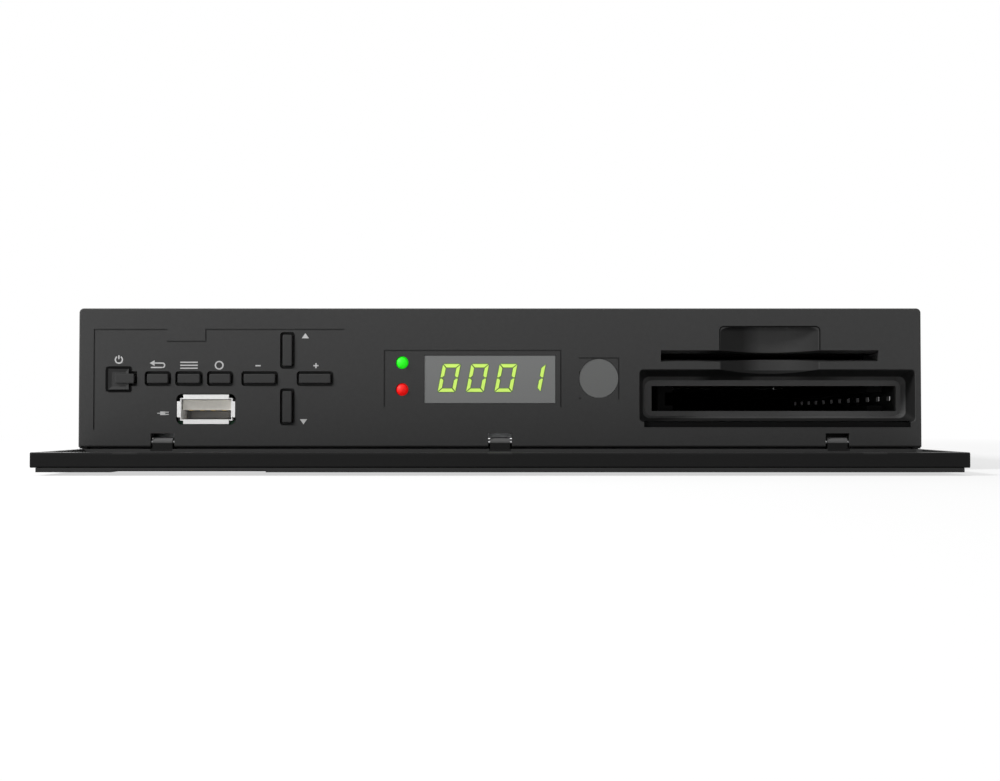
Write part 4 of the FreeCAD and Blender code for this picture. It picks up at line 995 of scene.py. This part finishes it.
def add_leg(mesh, start, out, rise, wide):
    """Add one bent leg that leaves a chip's side, drops to the board and ends in a foot."""
    side = Vector((abs(out.y), abs(out.x), 0)) * (wide / 2)
    thin = 0.07 * MM
    bends = ((-0.1, 0.5, rise - thin, rise + thin), (0.36, 0.5, 0.0, rise + thin),
             (0.36, 0.95, 0.0, 2 * thin))
    for near, far, foot, top in bends:
        first = start + out * (near * MM) - side
        last = start + out * (far * MM) + side
        low = Vector((min(first.x, last.x), min(first.y, last.y), start.z + foot))
        high = Vector((max(first.x, last.x), max(first.y, last.y), start.z + top))
        add_block(mesh, low, high)


class RECEIVER_OT_board_parts(bpy.types.Operator):
    """Give the chips on the main board their legs and the capacitors their scored tops"""
    bl_idname = "receiver.board_parts"
    bl_label = "Board parts"

    pitch: FloatProperty(name="Leg pitch", description="Distance between chip legs",
                         default=0.9 * MM, unit="LENGTH")

    def execute(self, context):
        legs = bmesh.new()
        for node in ("main_chip", "memory_chips"):
            for low, high in islands(node):
                size = high - low
                axes = (0, 1) if node == "main_chip" else ((0,) if size.x < size.y else (1,))
                for axis in axes:
                    self.add_row(legs, low, high, axis)
        new_piece("chip_legs", legs, finish_of("steel"))
        tops = bmesh.new()
        for low, high in islands("capacitors"):
            centre = (low + high) / 2
            radius, lip = (high.x - low.x) / 2, 0.15 * MM
            top = (centre.x, centre.y, high.z - lip)
            add_turned(tops, [(0.0, 0.0), (0.0, radius * 0.8), (lip * 1.6, radius * 0.76),
                              (lip * 1.8, radius * 0.7), (lip * 1.8, 0.0)], top, (0, 0, 1), 28)
            for turned in (False, True):
                long, slim = radius * 0.5, 0.06 * MM
                reach = (slim, long) if turned else (long, slim)
                add_block(tops, (centre.x - reach[0], centre.y - reach[1], high.z),
                          (centre.x + reach[0], centre.y + reach[1], high.z + lip * 1.2))
        new_piece("capacitor_tops", tops, finish_of("bright"))
        return {"FINISHED"}

    def add_row(self, mesh, low, high, axis):
        """Add the legs of the two sides that face along an axis."""
        other = 1 - axis
        margin, leg_width = 1.2 * MM, 0.35 * MM
        count = int((high[other] - low[other] - margin) / self.pitch)
        span = (count - 1) * self.pitch
        for sign, edge in ((-1, low[axis]), (1, high[axis])):
            out = Vector((0, 0, 0))
            out[axis] = sign
            for index in range(count):
                start = (low + high) / 2
                start[axis] = edge
                start[other] += index * self.pitch - span / 2
                start.z = low.z
                add_leg(mesh, start, out, (high.z - low.z) * 0.5, leg_width)


class RECEIVER_OT_rear_sockets(bpy.types.Operator):
    """Put threads, contacts and pins into the rear sockets"""
    bl_idname = "receiver.rear_sockets"
    bl_label = "Rear socket details"

    def execute(self, context):
        low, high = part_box("hdmi_port")
        middle = (low + high) / 2
        mesh = bmesh.new()
        add_block(mesh, (middle.x - 5.2 * MM, low.y + 1.5 * MM, middle.z - 0.4 * MM),
                  (middle.x + 5.2 * MM, high.y - 1.2 * MM, middle.z + 0.6 * MM), 0.15 * MM)
        new_piece("hdmi_tongue", mesh, finish_of("inner black"))
        low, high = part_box("lan_port")
        mesh = bmesh.new()
        for index in range(8):
            x = (low.x + high.x) / 2 + (index - 3.5) * 1.02 * MM
            add_block(mesh, (x - 0.16 * MM, low.y + 3.0 * MM, high.z - 4.2 * MM),
                      (x + 0.16 * MM, high.y - 2.5 * MM, high.z - 3.8 * MM), 0.05 * MM, 1)
        new_piece("lan_contacts", mesh, finish_of("gold"))
        mesh = bmesh.new()
        for low, high in islands("aerial_sockets"):
            add_thread(mesh, Vector(((low.x + high.x) / 2, high.y, (low.z + high.z) / 2)))
        new_piece("aerial_threads", mesh, finish_of("bright"))
        return {"FINISHED"}


# Each lamp's name, place, target, size and share of the lamp power
LAMPS = (
    ("Main lamp", (-0.85, -0.36, 0.62), (0.0, -0.06, 0.02), 0.22, 1.2),
    ("Fill lamp", (-0.2, -1.4, 0.3), (0.0, 0.0, 0.02), 0.9, 0.2),
    ("Top lamp", (0.0, 0.1, 1.3), (0.0, 0.02, 0.02), 0.8, 0.5),
    ("Back lamp", (-0.4, 1.4, 0.8), (0.0, 0.05, 0.02), 0.9, 0.6),
)
SKY_LIGHT = 0.22
SENSOR_WIDTH = 36.0
FOCAL_LENGTH = 45.58


class RECEIVER_OT_studio(bpy.types.Operator):
    """Set the pale floor, the soft lamps and the camera"""
    bl_idname = "receiver.studio"
    bl_label = "Studio"

    eye: FloatVectorProperty(name="Camera place", description="Where the camera stands",
                             default=(0.0, -0.3881, 0.0126), subtype="XYZ", unit="LENGTH")
    tilt: FloatProperty(name="Camera tilt", description="How far the camera looks up",
                        default=math.radians(1.335), subtype="ANGLE")

    def execute(self, context):
        scene = context.scene
        scene.view_settings.view_transform = "Standard"
        floor = add_floor()
        light_world(scene)
        for name, place, target, size, share in LAMPS:
            add_lamp(name, place, target, size, look().lamp_power * share)
        lens = bpy.data.cameras.new("Front camera")
        lens.sensor_width = SENSOR_WIDTH
        lens.lens = FOCAL_LENGTH
        lens.clip_start = 0.01
        camera = add_object("Front camera", lens)
        camera.location = self.eye
        camera.rotation_euler = (math.radians(90.0) + self.tilt, 0.0, 0.0)
        scene.camera = camera
        return {"FINISHED"}


def add_floor():
    """A wide pale floor that turns plain white away from the object."""
    mesh = bmesh.new()
    bmesh.ops.create_grid(mesh, x_segments=2, y_segments=2, size=4.0)
    data = mesh_data("studio_floor", mesh)

    def build(shader):
        grain = shader.noise(14.0, 3.0, 0.5)
        colour = solid(look().floor_colour)
        shader.set(Base_Color=shader.blend(grain, dimmed(colour, 0.985), colour), Roughness=0.8,
                   Specular_IOR_Level=0.0)
        across, along = shader.axis("X"), shader.axis("Y")
        far = ((across * across + along * along) ** 0.5 - 0.22) / 0.35
        shader.whiten(far.clamp() * 0.38 + 0.62)
    data.materials.append(material("Studio floor", build))
    return add_object("studio_floor", data)


def light_world(scene):
    """A soft even sky that shows as plain white behind the object."""
    world = bpy.data.worlds.new("Studio sky")
    world.use_nodes = True
    scene.world = world
    tree = Nodes(world.node_tree)
    sky = world.node_tree.nodes["Background"].inputs
    tree.put(sky["Color"], tone(1.0))
    tree.put(sky["Strength"], tree.background_rays() * (1.0 - SKY_LIGHT) + SKY_LIGHT)


def add_lamp(name, place, target, size, power):
    data = bpy.data.lights.new(name, "AREA")
    data.size = size
    data.energy = power
    lamp = add_object(name, data)
    lamp.location = place
    lamp.rotation_euler = (Vector(target) - Vector(place)).to_track_quat("-Z", "Y").to_euler()


STEPS = (
    RECEIVER_OT_finishes,
    RECEIVER_OT_lamps,
    RECEIVER_OT_keys,
    RECEIVER_OT_front_details,
    RECEIVER_OT_digits,
    RECEIVER_OT_marks,
    RECEIVER_OT_front_port,
    RECEIVER_OT_rear_sockets,
    RECEIVER_OT_screws,
    RECEIVER_OT_board_parts,
    RECEIVER_OT_studio,
)


class RECEIVER_PT_panel(bpy.types.Panel):
    """The receiver's sizes, colours and making steps"""
    bl_idname = "RECEIVER_PT_panel"
    bl_label = "Receiver"
    bl_space_type = "VIEW_3D"
    bl_region_type = "UI"
    bl_category = "Receiver"

    def draw(self, context):
        for name in ReceiverLook.__annotations__:
            self.layout.prop(context.scene.receiver_look, name)
        for step in STEPS:
            self.layout.operator(step.bl_idname)


CLASSES = (ReceiverLook,) + STEPS + (RECEIVER_PT_panel,)


def register():
    for each in CLASSES:
        bpy.utils.register_class(each)
    bpy.types.Scene.receiver_look = PointerProperty(type=ReceiverLook)


def unregister():
    del bpy.types.Scene.receiver_look
    for each in reversed(CLASSES):
        bpy.utils.unregister_class(each)


def main():
    register()
    bpy.ops.receiver.finishes()
    bpy.ops.receiver.lamps()
    bpy.ops.receiver.keys()
    bpy.ops.receiver.front_details()
    bpy.ops.receiver.digits()
    bpy.ops.receiver.marks()
    bpy.ops.receiver.front_port()
    bpy.ops.receiver.rear_sockets()
    bpy.ops.receiver.screws()
    bpy.ops.receiver.board_parts()
    bpy.ops.receiver.studio()


if __name__ == "__main__":
    main()
